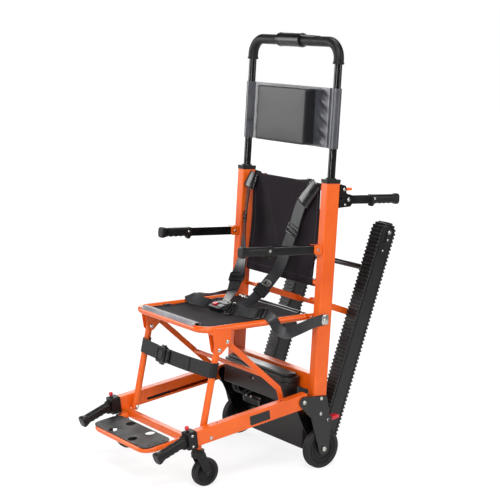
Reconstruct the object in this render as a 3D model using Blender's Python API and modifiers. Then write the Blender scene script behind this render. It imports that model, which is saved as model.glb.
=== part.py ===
"""Tracked evacuation chair: a folding seat on a welded back frame, with powered stair tracks behind it.

Chair axes: +X to the sitter's left, -Y ahead, +Z up, in metres. Places are written from the rear axle:
y = 0 is the axle of the rear wheels and z = 0 is the floor. One empty carries the whole chair and sets
it over the middle of its own length, and each moving group hangs on an empty on its joint's axis.
"""

import math

import bmesh
import bpy
from mathutils import Matrix, Vector

# Clearances and weld depth
GAP = 0.0003  # between faces that touch
RUN = 0.0006  # round a pin that turns or slides
WELD = 0.001  # how far welded pieces run into each other
SIDES = {"left": 1, "right": -1}

# Back frame: two uprights and their cross members
UPRIGHT_X = 0.257
UPRIGHT_Y = -0.030
UPRIGHT_W = 0.038
UPRIGHT_D = 0.058
UPRIGHT_WALL = 0.002
UPRIGHT_BOTTOM = 0.200
UPRIGHT_TOP = 1.050
CAP_H = 0.008
CAP_LIP = 0.002
BACK_TUBE_R = 0.011
BACK_TOP = (-0.020, 1.022)
BACK_LOW = (-0.031, 0.678)
BACK_CLOTH_T = 0.003
BACK_CLOTH_TOP_W = 0.356
BACK_CLOTH_LOW_W = 0.408
BACK_CLOTH_SAG = 0.010
BASE_BEAM_Y = -0.035
BASE_BEAM_D = 0.040
BASE_BEAM_LOW = 0.290
BASE_BEAM_H = 0.060

# Push handle and headrest
POST_R = 0.014
POST_BOTTOM = 0.860
HANDLE_TOP = 1.539
HANDLE_BEND = 0.060
GRIP_R = 0.0185
GRIP_RING = 1.09  # the end rings' size against the sleeve
GRIP_DROP = 0.077  # the sleeve's ends below the handle's top
COVER_R = 0.0235
COVER_FROM = -0.078
COVER_TO = 0.068
COVER_TAPER_TO = 0.147
SLING_RISE = 0.2673  # the sling's lower edge up the bare posts, as a share of their length
SLING_SHARE = 0.5248  # the sling's height as a share of the bare posts
SLING_T = 0.003
SLING_SHEET = 0.007
SLING_SEAM = 0.045
PAD_W = 0.294
PAD_MARGIN = 0.009  # the pad is that much lower than the sling
PAD_D = 0.046
PAD_EDGE = 0.008
PAD_CROWN = 0.004
HEADREST_DROP = 0.002  # the pad's lower edge above the sling's

# Carrying handles: armrests ahead and lift bars behind
BAR_T = 0.020
BAR_H = 0.032
PIN_R = 0.004
HAND_GRIP_W = 0.030
HAND_GRIP_H = 0.034
HAND_GRIP_L = 0.133
HAND_FLARE = 0.003
HAND_HOOK = 0.009
FINGERS = 4
FINGER_DEPTH = 0.0025
EAR_T = 0.004
ARM_PIVOT = (-0.079, 0.808)
ARM_BAR_L = 0.196
REAR_PIVOT = (0.045, 0.985)
REAR_BAR_L = 0.108
REAR_PLATE_H = 0.086
LEVER_PIVOT = (0.022, 1.022)
LEVER_L = 0.050
LEVER_H = 0.010
LEVER_PIN_R = 0.003

# Lower rails, which carry the casters, the footrest and the front lift handles
RAIL_PIVOT = (-0.105, 0.258)
RAIL_SLOPE = math.radians(10.55)
RAIL_REACH = 0.459
RAIL_TAIL = 0.020
RAIL_W = 0.036
RAIL_H = 0.054
RAIL_WALL = 0.002
RAIL_BOLT_R = 0.006
SLOT_FROM = 0.042
SLOT_TO = 0.345
SLOT_DROP = 0.012
SLOT_H = 0.011
COLLAR_L = 0.036
COLLAR_LIP = 0.004
SLIDER_W = 0.026
SLIDER_H = 0.040
SLIDER_IN = 0.220
LIFT_GRIP_L = 0.122
LIFT_GRIP_W = 0.032
LIFT_GRIP_H = 0.032
LIFT_DROOP = math.radians(13.5)
LIFT_FLARE = 0.005
KNOB_R = 0.008
KNOB_STEM_R = 0.0024
KNOB_RISE = 0.013
FRONT_BEAM_BACK = 0.034  # behind the rails' front end
FRONT_BEAM_D = 0.025
FRONT_BEAM_H = 0.025
FRONT_BEAM_LOW = 0.1365

# Casters and rear wheels
CASTER_BACK = 0.0185  # swivel axis behind the rails' front end
CASTER_TRAIL = 0.033
CASTER_R = 0.050
CASTER_W = 0.026
CASTER_TOP = 0.1335
CASTER_HUB_R = 0.022
CASTER_HUB_H = 0.0295
CASTER_CHEEK = 0.004
STEM_R = 0.006
SLEEVE_R = 0.0115
WHEEL_R = 0.075
WHEEL_W = 0.030
WHEEL_X = 0.258
AXLE_R = 0.006
PLATE_T = 0.004
BRAKE_PIVOT = (0.012, 0.182)
BRAKE_L = 0.055
BRAKE_W = 0.024

# Footrest
FOOT_AHEAD = 0.017  # hinge ahead of the front beam
FOOT_HINGE_Z = 0.146
FOOT_TILT = math.radians(10.5)
FOOT_L = 0.138
FOOT_HALF = 0.180
FOOT_TUBE_R = 0.010
FOOT_BEND = 0.045
FOOT_EAR_X = 0.196
FOOT_PLATE_T = 0.003
FOOT_PLATE_START = 0.028
FOOT_HOLE_R = 0.018
FOOT_HOLE_X = 0.065
FOOT_HOLES_AT = (0.052, 0.112)
BUMPER_R = 0.010
BUMPER_H = 0.034
BUMPER_X = 0.100

# Seat, legs and folding brace
SEAT_X = 0.222
SEAT_TUBE_R = 0.0115
SEAT_DEPTH = 0.460
SEAT_SLOPE = math.radians(2.8)
SEAT_BEND = 0.050
SEAT_CLOTH_T = 0.004
SEAT_SAG = 0.006
STRIP_W = 0.340
STRIP_D = 0.032
STRIP_T = 0.0025
HINGE_BAR_R = 0.011
HINGE_BAR_HALF = 0.165
LATCH_R = 0.005
LATCH_IN = 0.140
LATCH_STOP = 0.0004  # the pin's tip from the upright's inner face
SEAT_LUG_T = 0.004
SEAT_LUG_R = 0.014
SEAT_EAR_T = 0.005
LEG_R = 0.012
LEG_PIVOTS = 0.3043
LEG_LEAN = math.radians(8.5)
LEG_FOOT = (0.4075, -0.0165)  # along the rail from its pivot, and above its middle
LEG_OVER = 0.013
GUSSET_T = 0.003
GUSSET_WEB_L = 0.080
BRACE_TOP = (0.032, 0.028)  # from the leg's top pivot
BRACE_BEND = (-0.182, 0.305)
BRACE_FOOT = 0.050  # along the rail from its pivot
BRACE_W = 0.020
BRACE_T = 0.006
BRACE_BAR_Y = -0.250
BRACE_BAR_R = 0.008
STRAP_W = 0.046
STRAP_T = 0.0025
LEG_STRAP_AT = 0.070
LEG_STRAP_W = 0.052
LEG_BUCKLE = (0.056, 0.012, 0.050)
LEG_BUCKLE_X = -0.068

# Stair tracks
TRACK_PIVOT = (0.060, 0.110)
TRACK_LEAN = math.radians(16.35)
TRACK_CENTRES = 0.776
TRACK_X = 0.203
BELT_W = 0.056
BELT_IN_R = 0.0276
BELT_T = 0.0049
RIB_H = 0.0055
RIB_PITCH = 0.0145
RIB_FOOT = 0.009
RIB_TOP = 0.006
PULLEY_R = 0.027
PULLEY_HALF = 0.0185
BEAM_HALF = 0.026
BEAM_BACK = 0.0255
BEAM_FRONT = 0.010
SHAFT_R = 0.008
IDLER_AXLE_R = 0.005
CROSS_TUBE_AT = 0.630
CROSS_TUBE_R = 0.011
LINK_PIVOT = (-0.011, 0.605)
LINK_AT = 0.4533
LINK_X = 0.165
LINK_TUBE_R = 0.009
LINK_STUB_R = 0.007
LINK_BAR_H = 0.024
LINK_BAR_T = 0.006

# Drive and battery
BATTERY_W = 0.400
BATTERY_D = 0.0815
BATTERY_LOW = 0.240
BATTERY_H = 0.092
BATTERY_ROUND = 0.030
BATTERY_EDGE = 0.008
LID_H = 0.012
LID_INSET = 0.012
HOUSING_W = 0.330
HOUSING_LOW = 0.045
HOUSING_EDGE = 0.006
MOTOR_R = 0.033
MOTOR_AT = (-0.034, 0.178)
MOTOR_FROM = -0.150
MOTOR_TO = -0.040

# Harness buckle
BUCKLE = (0.078, 0.056, 0.018)
BUCKLE_AT = (-0.035, -0.275)
BUTTON = (0.022, 0.015, 0.004)
BUTTON_PROUD = 0.0035

GRIP_LOW = HANDLE_TOP - GRIP_DROP
POST_BARE = GRIP_LOW - UPRIGHT_TOP - CAP_H
SLING_LOW = UPRIGHT_TOP + CAP_H + SLING_RISE * POST_BARE
SLING_H = SLING_SHARE * POST_BARE
PAD_H = SLING_H - PAD_MARGIN

UPRIGHT_IN = UPRIGHT_X - UPRIGHT_W / 2
UPRIGHT_OUT = UPRIGHT_X + UPRIGHT_W / 2
UPRIGHT_FRONT = UPRIGHT_Y - UPRIGHT_D / 2
UPRIGHT_REAR = UPRIGHT_Y + UPRIGHT_D / 2
RAIL_IN = UPRIGHT_X - RAIL_W / 2

FINISHES = {
    "orange_coat": ((0.86, 0.16, 0.015), 0.38, 0.0),
    "black_coat": ((0.020, 0.019, 0.019), 0.42, 0.0),
    "black_plastic": ((0.018, 0.018, 0.019), 0.48, 0.0),
    "rubber": ((0.022, 0.021, 0.022), 0.72, 0.0),
    "wheel": ((0.030, 0.029, 0.030), 0.60, 0.0),
    "cloth": ((0.040, 0.034, 0.036), 0.85, 0.0),
    "vinyl": ((0.030, 0.029, 0.031), 0.45, 0.0),
    "webbing": ((0.045, 0.045, 0.048), 0.75, 0.0),
    "steel": ((0.62, 0.61, 0.60), 0.28, 1.0),
    "red": ((0.62, 0.010, 0.022), 0.35, 0.0),
}


# Points in the chair's side plane, (y, z)


def rail_point(along, above=0.0):
    """A point of the rails' side view: along from the rear pivot to the front, above the middle line."""
    cos, sin = math.cos(RAIL_SLOPE), math.sin(RAIL_SLOPE)
    return (RAIL_PIVOT[0] - along * cos - above * sin, RAIL_PIVOT[1] - along * sin + above * cos)


def foot_point(along, above=0.0):
    """A point of the footrest's side view, along from its hinge to its front edge."""
    hinge_y = rail_point(RAIL_REACH - FRONT_BEAM_BACK)[0] - FRONT_BEAM_D - FOOT_AHEAD
    cos, sin = math.cos(FOOT_TILT), math.sin(FOOT_TILT)
    return (hinge_y - along * cos - above * sin, FOOT_HINGE_Z - along * sin + above * cos)


def track_point(along, behind=0.0):
    """A point of the tracks' side view, up from the drive shaft and behind the middle line."""
    cos, sin = math.cos(TRACK_LEAN), math.sin(TRACK_LEAN)
    return (TRACK_PIVOT[0] + along * sin + behind * cos, TRACK_PIVOT[1] + along * cos - behind * sin)


LEG_LOW = rail_point(*LEG_FOOT)
LEG_TOP = (LEG_LOW[0] + LEG_PIVOTS * math.sin(LEG_LEAN), LEG_LOW[1] + LEG_PIVOTS * math.cos(LEG_LEAN))
# The seat, the legs, the rails and the back make a parallelogram, so the seat's pivot follows.
SEAT_PIVOT = (RAIL_PIVOT[0] + LEG_TOP[0] - LEG_LOW[0], RAIL_PIVOT[1] + LEG_TOP[1] - LEG_LOW[1])
BRACE_PIVOT = (LEG_TOP[0] + BRACE_TOP[0], LEG_TOP[1] + BRACE_TOP[1])
BRACE_LOW = rail_point(BRACE_FOOT, -SLOT_DROP)
CASTER_Y = rail_point(RAIL_REACH - CASTER_BACK)[0]
FOOT_PIVOT = foot_point(0.0)
FRONT_BEAM_Y = rail_point(RAIL_REACH - FRONT_BEAM_BACK)[0] - FRONT_BEAM_D / 2
LINK_LOW = track_point(LINK_AT)
BELT_OUT_R = BELT_IN_R + BELT_T + RIB_H

LIFT_START = RAIL_REACH + COLLAR_L


def seat_z(y):
    """Height of the seat tube's middle line."""
    return SEAT_PIVOT[1] + (y - SEAT_PIVOT[0]) * math.tan(SEAT_SLOPE)


SEAT_FRONT = SEAT_PIVOT[0] - SEAT_DEPTH
SEAT_CLOTH_FRONT = SEAT_FRONT + SEAT_TUBE_R + GAP
SEAT_CLOTH_REAR = SEAT_PIVOT[0] - HINGE_BAR_R - GAP
SEAT_CLOTH_HALF = SEAT_X - SEAT_TUBE_R - GAP


def seat_cloth_z(x, y):
    """Height of the seat cloth's middle surface, which hangs a little between its tubes."""
    across = 1 - (x / SEAT_CLOTH_HALF) ** 2
    along = math.sin(math.pi * (y - SEAT_CLOTH_FRONT) / (SEAT_CLOTH_REAR - SEAT_CLOTH_FRONT))
    return seat_z(y) - SEAT_SAG * across * max(along, 0.0)


# Outlines, as lists of 2D points


def circle(centre, radius, sides=12):
    step = 2 * math.pi / sides
    return [(centre[0] + radius * math.cos(i * step), centre[1] + radius * math.sin(i * step))
            for i in range(sides)]


def arc(centre, radius, start, end, steps):
    """Points from one angle to the other, in degrees."""
    angles = [math.radians(start + (end - start) * i / steps) for i in range(steps + 1)]
    return [(centre[0] + radius * math.cos(a), centre[1] + radius * math.sin(a)) for a in angles]


def rounded_rect(width, height, radius, steps=3, centre=(0.0, 0.0)):
    x, y = width / 2 - radius, height / 2 - radius
    corners = (((x, y), 0), ((-x, y), 90), ((-x, -y), 180), ((x, -y), 270))
    points = [p for corner, start in corners for p in arc(corner, radius, start, start + 90, steps)]
    return [(centre[0] + u, centre[1] + v) for u, v in points]


def band(points, half, steps=5):
    """Outline of a bar of even width along a bent line, with round ends."""
    line = [Vector(p) for p in points]
    left, right = [], []
    for i, here in enumerate(line):
        ahead = (line[min(i + 1, len(line) - 1)] - here) if i < len(line) - 1 else here - line[i - 1]
        behind = (here - line[i - 1]) if i else ahead
        tangent = (ahead.normalized() + behind.normalized()).normalized()
        normal = Vector((-tangent.y, tangent.x))
        miter = half / max(normal.dot(Vector((-ahead.y, ahead.x)).normalized()), 0.3)
        left.append(here + normal * miter)
        right.append(here - normal * miter)
    first = math.degrees(math.atan2(*(line[1] - line[0]).yx))
    last = math.degrees(math.atan2(*(line[-1] - line[-2]).yx))
    start_cap = arc(line[0], half, first + 90, first + 270, steps)
    end_cap = arc(line[-1], half, last - 90, last + 90, steps)
    return start_cap + [tuple(p) for p in right[1:-1]] + end_cap + [tuple(p) for p in left[-2:0:-1]]


def tab(base, tip, half, steps=6):
    """Outline of a lug that is square at its base and round at its tip."""
    along = (Vector(tip) - Vector(base)).normalized()
    side = Vector((-along.y, along.x)) * half
    turn = math.degrees(math.atan2(along.y, along.x))
    return [tuple(Vector(base) - side)] + arc(tip, half, turn - 90, turn + 90, steps) + [
        tuple(Vector(base) + side)]


def hull(*rounds, sides=14):
    """Outline of a plate drawn tight round some circles, each (y, z, radius)."""
    points = sorted(p for y, z, r in rounds for p in circle((y, z), r, sides))
    chain = []
    for ordered in (points, points[::-1]):
        base = len(chain)
        for p in ordered:
            while len(chain) - base >= 2:
                a, b = chain[-2], chain[-1]
                if (b[0] - a[0]) * (p[1] - a[1]) - (b[1] - a[1]) * (p[0] - a[0]) > 1e-12:
                    break
                chain.pop()
            chain.append(p)
        chain.pop()
    return chain


def fillet(points, radius, steps):
    """A bent tube's middle line: each inner corner becomes an arc."""
    line = [Vector(p) for p in points]
    out = [line[0]]
    for before, here, after in zip(line, line[1:], line[2:]):
        u, v = (before - here).normalized(), (after - here).normalized()
        half = u.angle(v) / 2
        centre = here + (u + v).normalized() * (radius / math.sin(half))
        start, end = here + u * (radius / math.tan(half)), here + v * (radius / math.tan(half))
        a, b = start - centre, end - centre
        full = a.angle(b)
        for i in range(steps + 1):
            t = i / steps
            out.append(centre + (a * math.sin((1 - t) * full) + b * math.sin(t * full)) / math.sin(full))
    return out + [line[-1]]


def smooth(points, steps):
    """A soft curve through the points of a strap's route."""
    line = [Vector(p) for p in points]
    out = []
    for i in range(len(line) - 1):
        before, after = line[max(i - 1, 0)], line[min(i + 2, len(line) - 1)]
        here, there = line[i], line[i + 1]
        for k in range(steps):
            t = k / steps
            out.append(here + (there - before) * (0.5 * t)
                       + (before * 2 - here * 5 + there * 4 - after) * (0.5 * t * t)
                       + (here * 3 - before - there * 3 + after) * (0.5 * t ** 3))
    return out + [line[-1]]


# Solids, as meshes in the chair's axes


def evaluated(obj, matrix=None):
    """The object's evaluated shape as a closed mesh, moved by the matrix; the object is removed."""
    bpy.context.scene.collection.objects.link(obj)
    bpy.context.view_layer.update()
    mesh = bpy.data.meshes.new_from_object(obj.evaluated_get(bpy.context.evaluated_depsgraph_get()))
    bpy.data.objects.remove(obj)
    bm = bmesh.new()
    bm.from_mesh(mesh)
    bmesh.ops.remove_doubles(bm, verts=bm.verts, dist=1e-6)
    bmesh.ops.recalc_face_normals(bm, faces=bm.faces)
    bm.to_mesh(mesh)
    bm.free()
    if matrix is not None:
        mesh.transform(matrix)
    return mesh


def frame_of(x_axis, y_axis, origin):
    """Matrix of a flat drawing's axes and place."""
    x_axis, y_axis = Vector(x_axis).normalized(), Vector(y_axis).normalized()
    matrix = Matrix((x_axis, y_axis, x_axis.cross(y_axis))).transposed().to_4x4()
    matrix.translation = Vector(origin)
    return matrix


def flat(loops, thickness, frame, edge=0.0):
    """A plate of the first outline with the others as holes, centred on its drawing plane."""
    curve = bpy.data.curves.new("outline", "CURVE")
    curve.dimensions = "2D"
    curve.fill_mode = "BOTH"
    curve.extrude = thickness / 2 - edge
    curve.bevel_depth = edge
    curve.offset = -edge
    curve.bevel_resolution = 1
    for loop in loops:
        spline = curve.splines.new("POLY")
        spline.points.add(len(loop) - 1)
        for point, (u, v) in zip(spline.points, loop):
            point.co = (u, v, 0.0, 1.0)
        spline.use_cyclic_u = True
    mesh = evaluated(bpy.data.objects.new("outline", curve), frame)
    bpy.data.curves.remove(curve)
    return mesh


def side_plate(loops, thickness, x, edge=0.0):
    """A plate drawn in the side view, (y, z), at one distance across the chair."""
    return flat(loops, thickness, frame_of((0, 1, 0), (0, 0, 1), (x, 0, 0)), edge)


def plan_plate(loops, thickness, centre, edge=0.0):
    """A plate drawn from above, (x, y)."""
    return flat(loops, thickness, frame_of((1, 0, 0), (0, 1, 0), centre), edge)


def tube(points, radius, sides=10, swell=None):
    """A round bar along a line of points; swell scales its radius point by point."""
    curve = bpy.data.curves.new("tube", "CURVE")
    curve.dimensions = "3D"
    curve.bevel_depth = radius
    curve.bevel_resolution = (sides - 4) // 2
    curve.use_fill_caps = True
    spline = curve.splines.new("POLY")
    spline.points.add(len(points) - 1)
    for i, (point, place) in enumerate(zip(spline.points, points)):
        point.co = (*place, 1.0)
        point.radius = swell[i] if swell else 1.0
    mesh = evaluated(bpy.data.objects.new("tube", curve))
    bpy.data.curves.remove(curve)
    return mesh


def from_bmesh(bm, matrix=None):
    mesh = bpy.data.meshes.new("solid")
    if matrix is not None:
        bm.transform(matrix)
    bm.to_mesh(mesh)
    bm.free()
    return mesh


def rod(start, end, radius, sides=10):
    """A cylinder between two points."""
    start, end = Vector(start), Vector(end)
    bm = bmesh.new()
    bmesh.ops.create_cone(bm, cap_ends=True, segments=sides, radius1=radius, radius2=radius,
                          depth=(end - start).length)
    turn = Vector((0, 0, 1)).rotation_difference(end - start).to_matrix().to_4x4()
    return from_bmesh(bm, Matrix.Translation((start + end) / 2) @ turn)


def cross_rod(x_from, x_to, at, radius, sides=10):
    """A cylinder across the chair at a point of the side view."""
    low, high = sorted((x_from, x_to))
    return rod((low, *at), (high, *at), radius, sides)


def box(size, centre, turn=0.0):
    """A block, turned about X."""
    bm = bmesh.new()
    bmesh.ops.create_cube(bm, size=1.0)
    bmesh.ops.scale(bm, vec=size, verts=bm.verts)
    return from_bmesh(bm, Matrix.Translation(centre) @ Matrix.Rotation(turn, 4, "X"))


def ball(centre, radius):
    bm = bmesh.new()
    bmesh.ops.create_uvsphere(bm, u_segments=10, v_segments=6, radius=radius)
    return from_bmesh(bm, Matrix.Translation(centre))


def turned(profile, centre, steps=28):
    """A ring turned about an axis across the chair, from a closed profile of (radius, across)."""
    mesh = bpy.data.meshes.new("profile")
    count = len(profile)
    mesh.from_pydata([(r, 0.0, h) for r, h in profile], [(i, (i + 1) % count) for i in range(count)], [])
    obj = bpy.data.objects.new("profile", mesh)
    screw = obj.modifiers.new("turn", "SCREW")
    screw.steps = screw.render_steps = steps
    screw.use_merge_vertices = True
    screw.merge_threshold = 1e-5
    solid = evaluated(obj, Matrix.Translation(centre) @ Matrix.Rotation(math.pi / 2, 4, "Y"))
    bpy.data.meshes.remove(mesh)
    return solid


def mirrored(profile):
    """A wheel's whole profile from its left half, listed from the bore to the tread."""
    return list(profile) + [(r, -h) for r, h in reversed(profile)]


def ribbon(route, faces, widths, thickness=STRAP_T, steps=4):
    """Flat webbing along a route, with a width and an outward direction at each of its points."""
    line = smooth(route, steps)
    looks = smooth(faces, steps)
    spans = smooth([(w, 0, 0) for w in widths], steps)
    bm = bmesh.new()
    rows = []
    for i, here in enumerate(line):
        along = line[min(i + 1, len(line) - 1)] - line[max(i - 1, 0)]
        across = looks[i].cross(along).normalized() * (spans[i].x / 2)
        rows.append((bm.verts.new(here - across), bm.verts.new(here + across)))
    for (a, b), (c, d) in zip(rows, rows[1:]):
        bm.faces.new((a, b, d, c))
    obj = bpy.data.objects.new("ribbon", from_bmesh(bm))
    shell = obj.modifiers.new("thickness", "SOLIDIFY")
    shell.thickness = thickness
    shell.offset = 0.0
    return evaluated(obj)


# The scene's tree of parts


class Chair:
    """Collects the named parts, their empties and the hidden pieces that join or cut them."""

    def __init__(self):
        for obj in list(bpy.data.objects):
            bpy.data.objects.remove(obj)
        self.parts = bpy.data.collections.new("evacuation_chair")
        self.tools = bpy.data.collections.new("joined_and_cut_shapes")
        self.tools.hide_render = True
        for collection in (self.parts, self.tools):
            bpy.context.scene.collection.children.link(collection)
        self.finishes = {name: self.finish(name, *values) for name, values in FINISHES.items()}
        self.places = {}
        self.root = self.pivot("chair", (0.0, 0.0, 0.0), None)

    def finish(self, name, colour, roughness, metallic):
        material = bpy.data.materials.new(name)
        material.use_nodes = True
        shader = material.node_tree.nodes["Principled BSDF"]
        shader.inputs["Base Color"].default_value = (*colour, 1.0)
        shader.inputs["Roughness"].default_value = roughness
        shader.inputs["Metallic"].default_value = metallic
        material.diffuse_color = (*colour, 1.0)
        return material

    def pivot(self, name, at, parent):
        """An empty on a joint's axis, which carries the group that moves there."""
        empty = bpy.data.objects.new("pivot_" + name, None)
        empty.empty_display_size = 0.03
        self.parts.objects.link(empty)
        self.places[empty] = Vector(at)
        if parent is not None:
            empty.parent = parent
            empty.location = Vector(at) - self.places[parent]
        return empty

    def centre(self):
        """Sets the chair's origin under the middle of its length."""
        bpy.context.view_layer.update()
        graph = bpy.context.evaluated_depsgraph_get()
        reach = [vertex.co.y for obj in self.parts.objects if obj.type == "MESH"
                 for vertex in obj.evaluated_get(graph).data.vertices]
        self.root.location.y = -(min(reach) + max(reach)) / 2

    def tool(self, mesh):
        obj = bpy.data.objects.new("shape", mesh)
        obj.hide_render = True
        obj.display_type = "WIRE"
        obj.parent = self.root
        self.tools.objects.link(obj)
        return obj

    def part(self, name, finish, pivot, solids, cuts=()):
        """One named piece: its first solid, joined with the others and cut by the cuts."""
        obj = bpy.data.objects.new(name, solids[0])
        self.parts.objects.link(obj)
        obj.parent = pivot
        obj.location = -self.places[pivot]
        for operation, meshes in (("UNION", solids[1:]), ("DIFFERENCE", cuts)):
            for mesh in meshes:
                modifier = obj.modifiers.new(operation.lower(), "BOOLEAN")
                modifier.operation = operation
                modifier.solver = "EXACT"
                modifier.object = self.tool(mesh)
        obj.data.materials.append(self.finishes[finish])
        obj.data.shade_smooth()
        obj.data.set_sharp_from_angle(angle=math.radians(35))
        return obj


# Sub-assemblies


def back_frame(chair):
    """Uprights, cross members and welded lugs, with the caps and the back cloth."""
    root = chair.root
    height = UPRIGHT_TOP - UPRIGHT_BOTTOM
    middle = (UPRIGHT_TOP + UPRIGHT_BOTTOM) / 2
    outer = rounded_rect(UPRIGHT_W, UPRIGHT_D, 2 * UPRIGHT_WALL, 2)
    inner = rounded_rect(UPRIGHT_W - 2 * UPRIGHT_WALL, UPRIGHT_D - 2 * UPRIGHT_WALL, UPRIGHT_WALL, 2)
    solids = [plan_plate([outer, inner], height, (s * UPRIGHT_X, UPRIGHT_Y, middle)) for s in SIDES.values()]
    weld = UPRIGHT_IN + WELD
    solids += [cross_rod(-weld, weld, at, BACK_TUBE_R) for at in (BACK_TOP, BACK_LOW)]
    solids.append(box((2 * weld, BASE_BEAM_D, BASE_BEAM_H),
                      (0, BASE_BEAM_Y, BASE_BEAM_LOW + BASE_BEAM_H / 2)))
    cuts = []
    for s in SIDES.values():
        x = s * UPRIGHT_X
        ear = BAR_T / 2 + RUN + EAR_T / 2
        lug = tab((UPRIGHT_FRONT + WELD, ARM_PIVOT[1]), ARM_PIVOT, BAR_H / 2 + 0.001)
        solids += [side_plate([lug], EAR_T, x + e * ear) for e in (-1, 1)]
        bolt = ear + EAR_T / 2 + 0.0015
        solids.append(cross_rod(x - bolt, x + bolt, ARM_PIVOT, PIN_R))
        solids.append(cross_rod(s * weld, s * (LINK_X - LINK_BAR_T), LINK_PIVOT, LINK_STUB_R))
        # The seat hangs on lugs at the uprights' inner faces, each with a blind bore for a latch pin.
        lug = tab((UPRIGHT_Y, SEAT_PIVOT[1]), SEAT_PIVOT, SEAT_LUG_R)
        solids.append(side_plate([lug], SEAT_LUG_T + WELD / 2, s * (UPRIGHT_IN - SEAT_LUG_T / 2 + WELD / 4)))
        cuts.append(cross_rod(s * (UPRIGHT_IN - 2 * SEAT_LUG_T), s * (UPRIGHT_IN - GAP / 3), SEAT_PIVOT,
                              LATCH_R + RUN))
    chair.part("back_frame", "orange_coat", root, solids, cuts)

    cap = rounded_rect(UPRIGHT_W + 2 * CAP_LIP, UPRIGHT_D + 2 * CAP_LIP, 2 * UPRIGHT_WALL + CAP_LIP, 2)
    for name, s in SIDES.items():
        centre = (s * UPRIGHT_X, UPRIGHT_Y, UPRIGHT_TOP + GAP + CAP_H / 2)
        chair.part(f"upright_cap_{name}", "black_plastic", root,
                   [plan_plate([cap, circle((0, 0), POST_R + RUN, 16)], CAP_H, centre)])

    # The cloth hooks round both cross tubes and hangs a little between them.
    reach = BACK_TUBE_R + 2 * GAP + BACK_CLOTH_T / 2
    line = arc(BACK_TOP, reach, -60, 180, 10)
    fall = (BACK_LOW[0] - BACK_TOP[0], BACK_LOW[1] - BACK_TOP[1])
    for i in range(1, 6):
        t = i / 6
        line.append((BACK_TOP[0] - reach + fall[0] * t + BACK_CLOTH_SAG * math.sin(math.pi * t),
                     BACK_TOP[1] + fall[1] * t))
    line += arc(BACK_LOW, reach, 180, 420, 10)
    cloth = side_plate([band(line, BACK_CLOTH_T / 2, 2)], 1.0, 0.0)
    for vertex in cloth.vertices:
        t = (vertex.co.z - BACK_LOW[1]) / (BACK_TOP[1] - BACK_LOW[1])
        vertex.co.x *= BACK_CLOTH_LOW_W + (BACK_CLOTH_TOP_W - BACK_CLOTH_LOW_W) * t
    chair.part("backrest_panel", "cloth", root, [cloth])


def push_handle(chair):
    """The telescopic push handle with its grip, and the headrest slung between its posts."""
    pivot = chair.pivot("push_handle", (0, UPRIGHT_Y, UPRIGHT_TOP), chair.root)
    x, y = UPRIGHT_X, UPRIGHT_Y
    corners = [(-x, y, POST_BOTTOM), (-x, y, HANDLE_TOP), (x, y, HANDLE_TOP), (x, y, POST_BOTTOM)]
    chair.part("push_handle_tube", "black_coat", pivot, [tube(fillet(corners, HANDLE_BEND, 5), POST_R)])

    ring = 0.006
    ends = [(-x, y, GRIP_LOW), (-x, y, GRIP_LOW + ring), (-x, y, GRIP_LOW + ring + WELD)]
    bend = fillet([ends[-1], (-x, y, HANDLE_TOP), (x, y, HANDLE_TOP), (x, y, ends[-1][2])], HANDLE_BEND, 5)
    path = ends[:2] + bend + [(x, y, p[2]) for p in reversed(ends[:2])]
    swell = [GRIP_RING] * 2 + [1.0] * len(bend) + [GRIP_RING] * 2
    bore = fillet([(-x, y, GRIP_LOW - ring), *corners[1:3], (x, y, GRIP_LOW - ring)], HANDLE_BEND, 5)
    cover = turned([(GRIP_R - WELD, COVER_FROM), (COVER_R - 0.002, COVER_FROM), (COVER_R, COVER_FROM + 0.004),
                    (COVER_R, COVER_TO), (GRIP_R + WELD, COVER_TAPER_TO), (GRIP_R - WELD, COVER_TAPER_TO)],
                   (0, y, HANDLE_TOP), 14)
    chair.part("push_handle_grip", "black_plastic", pivot,
               [tube(path, GRIP_R, 10, swell), cover], [tube(bore, POST_R + RUN)])

    # Seen from above, a sleeve round each post runs into one flat sheet.
    sleeve = POST_R + 2 * RUN + SLING_T
    sheet = SLING_SHEET / 2
    outline = (arc((x, 0), sleeve, -120, 120, 12) + [(x - SLING_SEAM, sheet), (SLING_SEAM - x, sheet)]
               + arc((-x, 0), sleeve, 60, 300, 12) + [(SLING_SEAM - x, -sheet), (x - SLING_SEAM, -sheet)])
    holes = [circle((s * x, 0), POST_R + 2 * RUN) for s in (1, -1)]
    chair.part("headrest_sling", "vinyl", pivot,
               [plan_plate([outline, *holes], SLING_H, (0, y, SLING_LOW + SLING_H / 2))])

    back = y - sheet - GAP
    bm = bmesh.new()
    bmesh.ops.create_cube(bm, size=1.0)
    bmesh.ops.scale(bm, vec=(PAD_W, PAD_D, PAD_H), verts=bm.verts)
    bmesh.ops.bevel(bm, geom=bm.edges[:], offset=PAD_EDGE, segments=2, profile=0.5, affect="EDGES")
    bmesh.ops.subdivide_edges(bm, edges=[e for e in bm.edges if e.calc_length() > 2 * PAD_EDGE], cuts=3,
                              use_grid_fill=True)
    for vertex in bm.verts:
        u, v = 2 * vertex.co.x / PAD_W, 2 * vertex.co.z / PAD_H
        if vertex.co.y < 0:
            vertex.co.y -= PAD_CROWN * (1 - u * u) * (1 - v * v)
    centre = (0, back - PAD_D / 2, SLING_LOW + HEADREST_DROP + PAD_H / 2)
    chair.part("headrest_pad", "vinyl", pivot, [from_bmesh(bm, Matrix.Translation(centre))])


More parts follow.
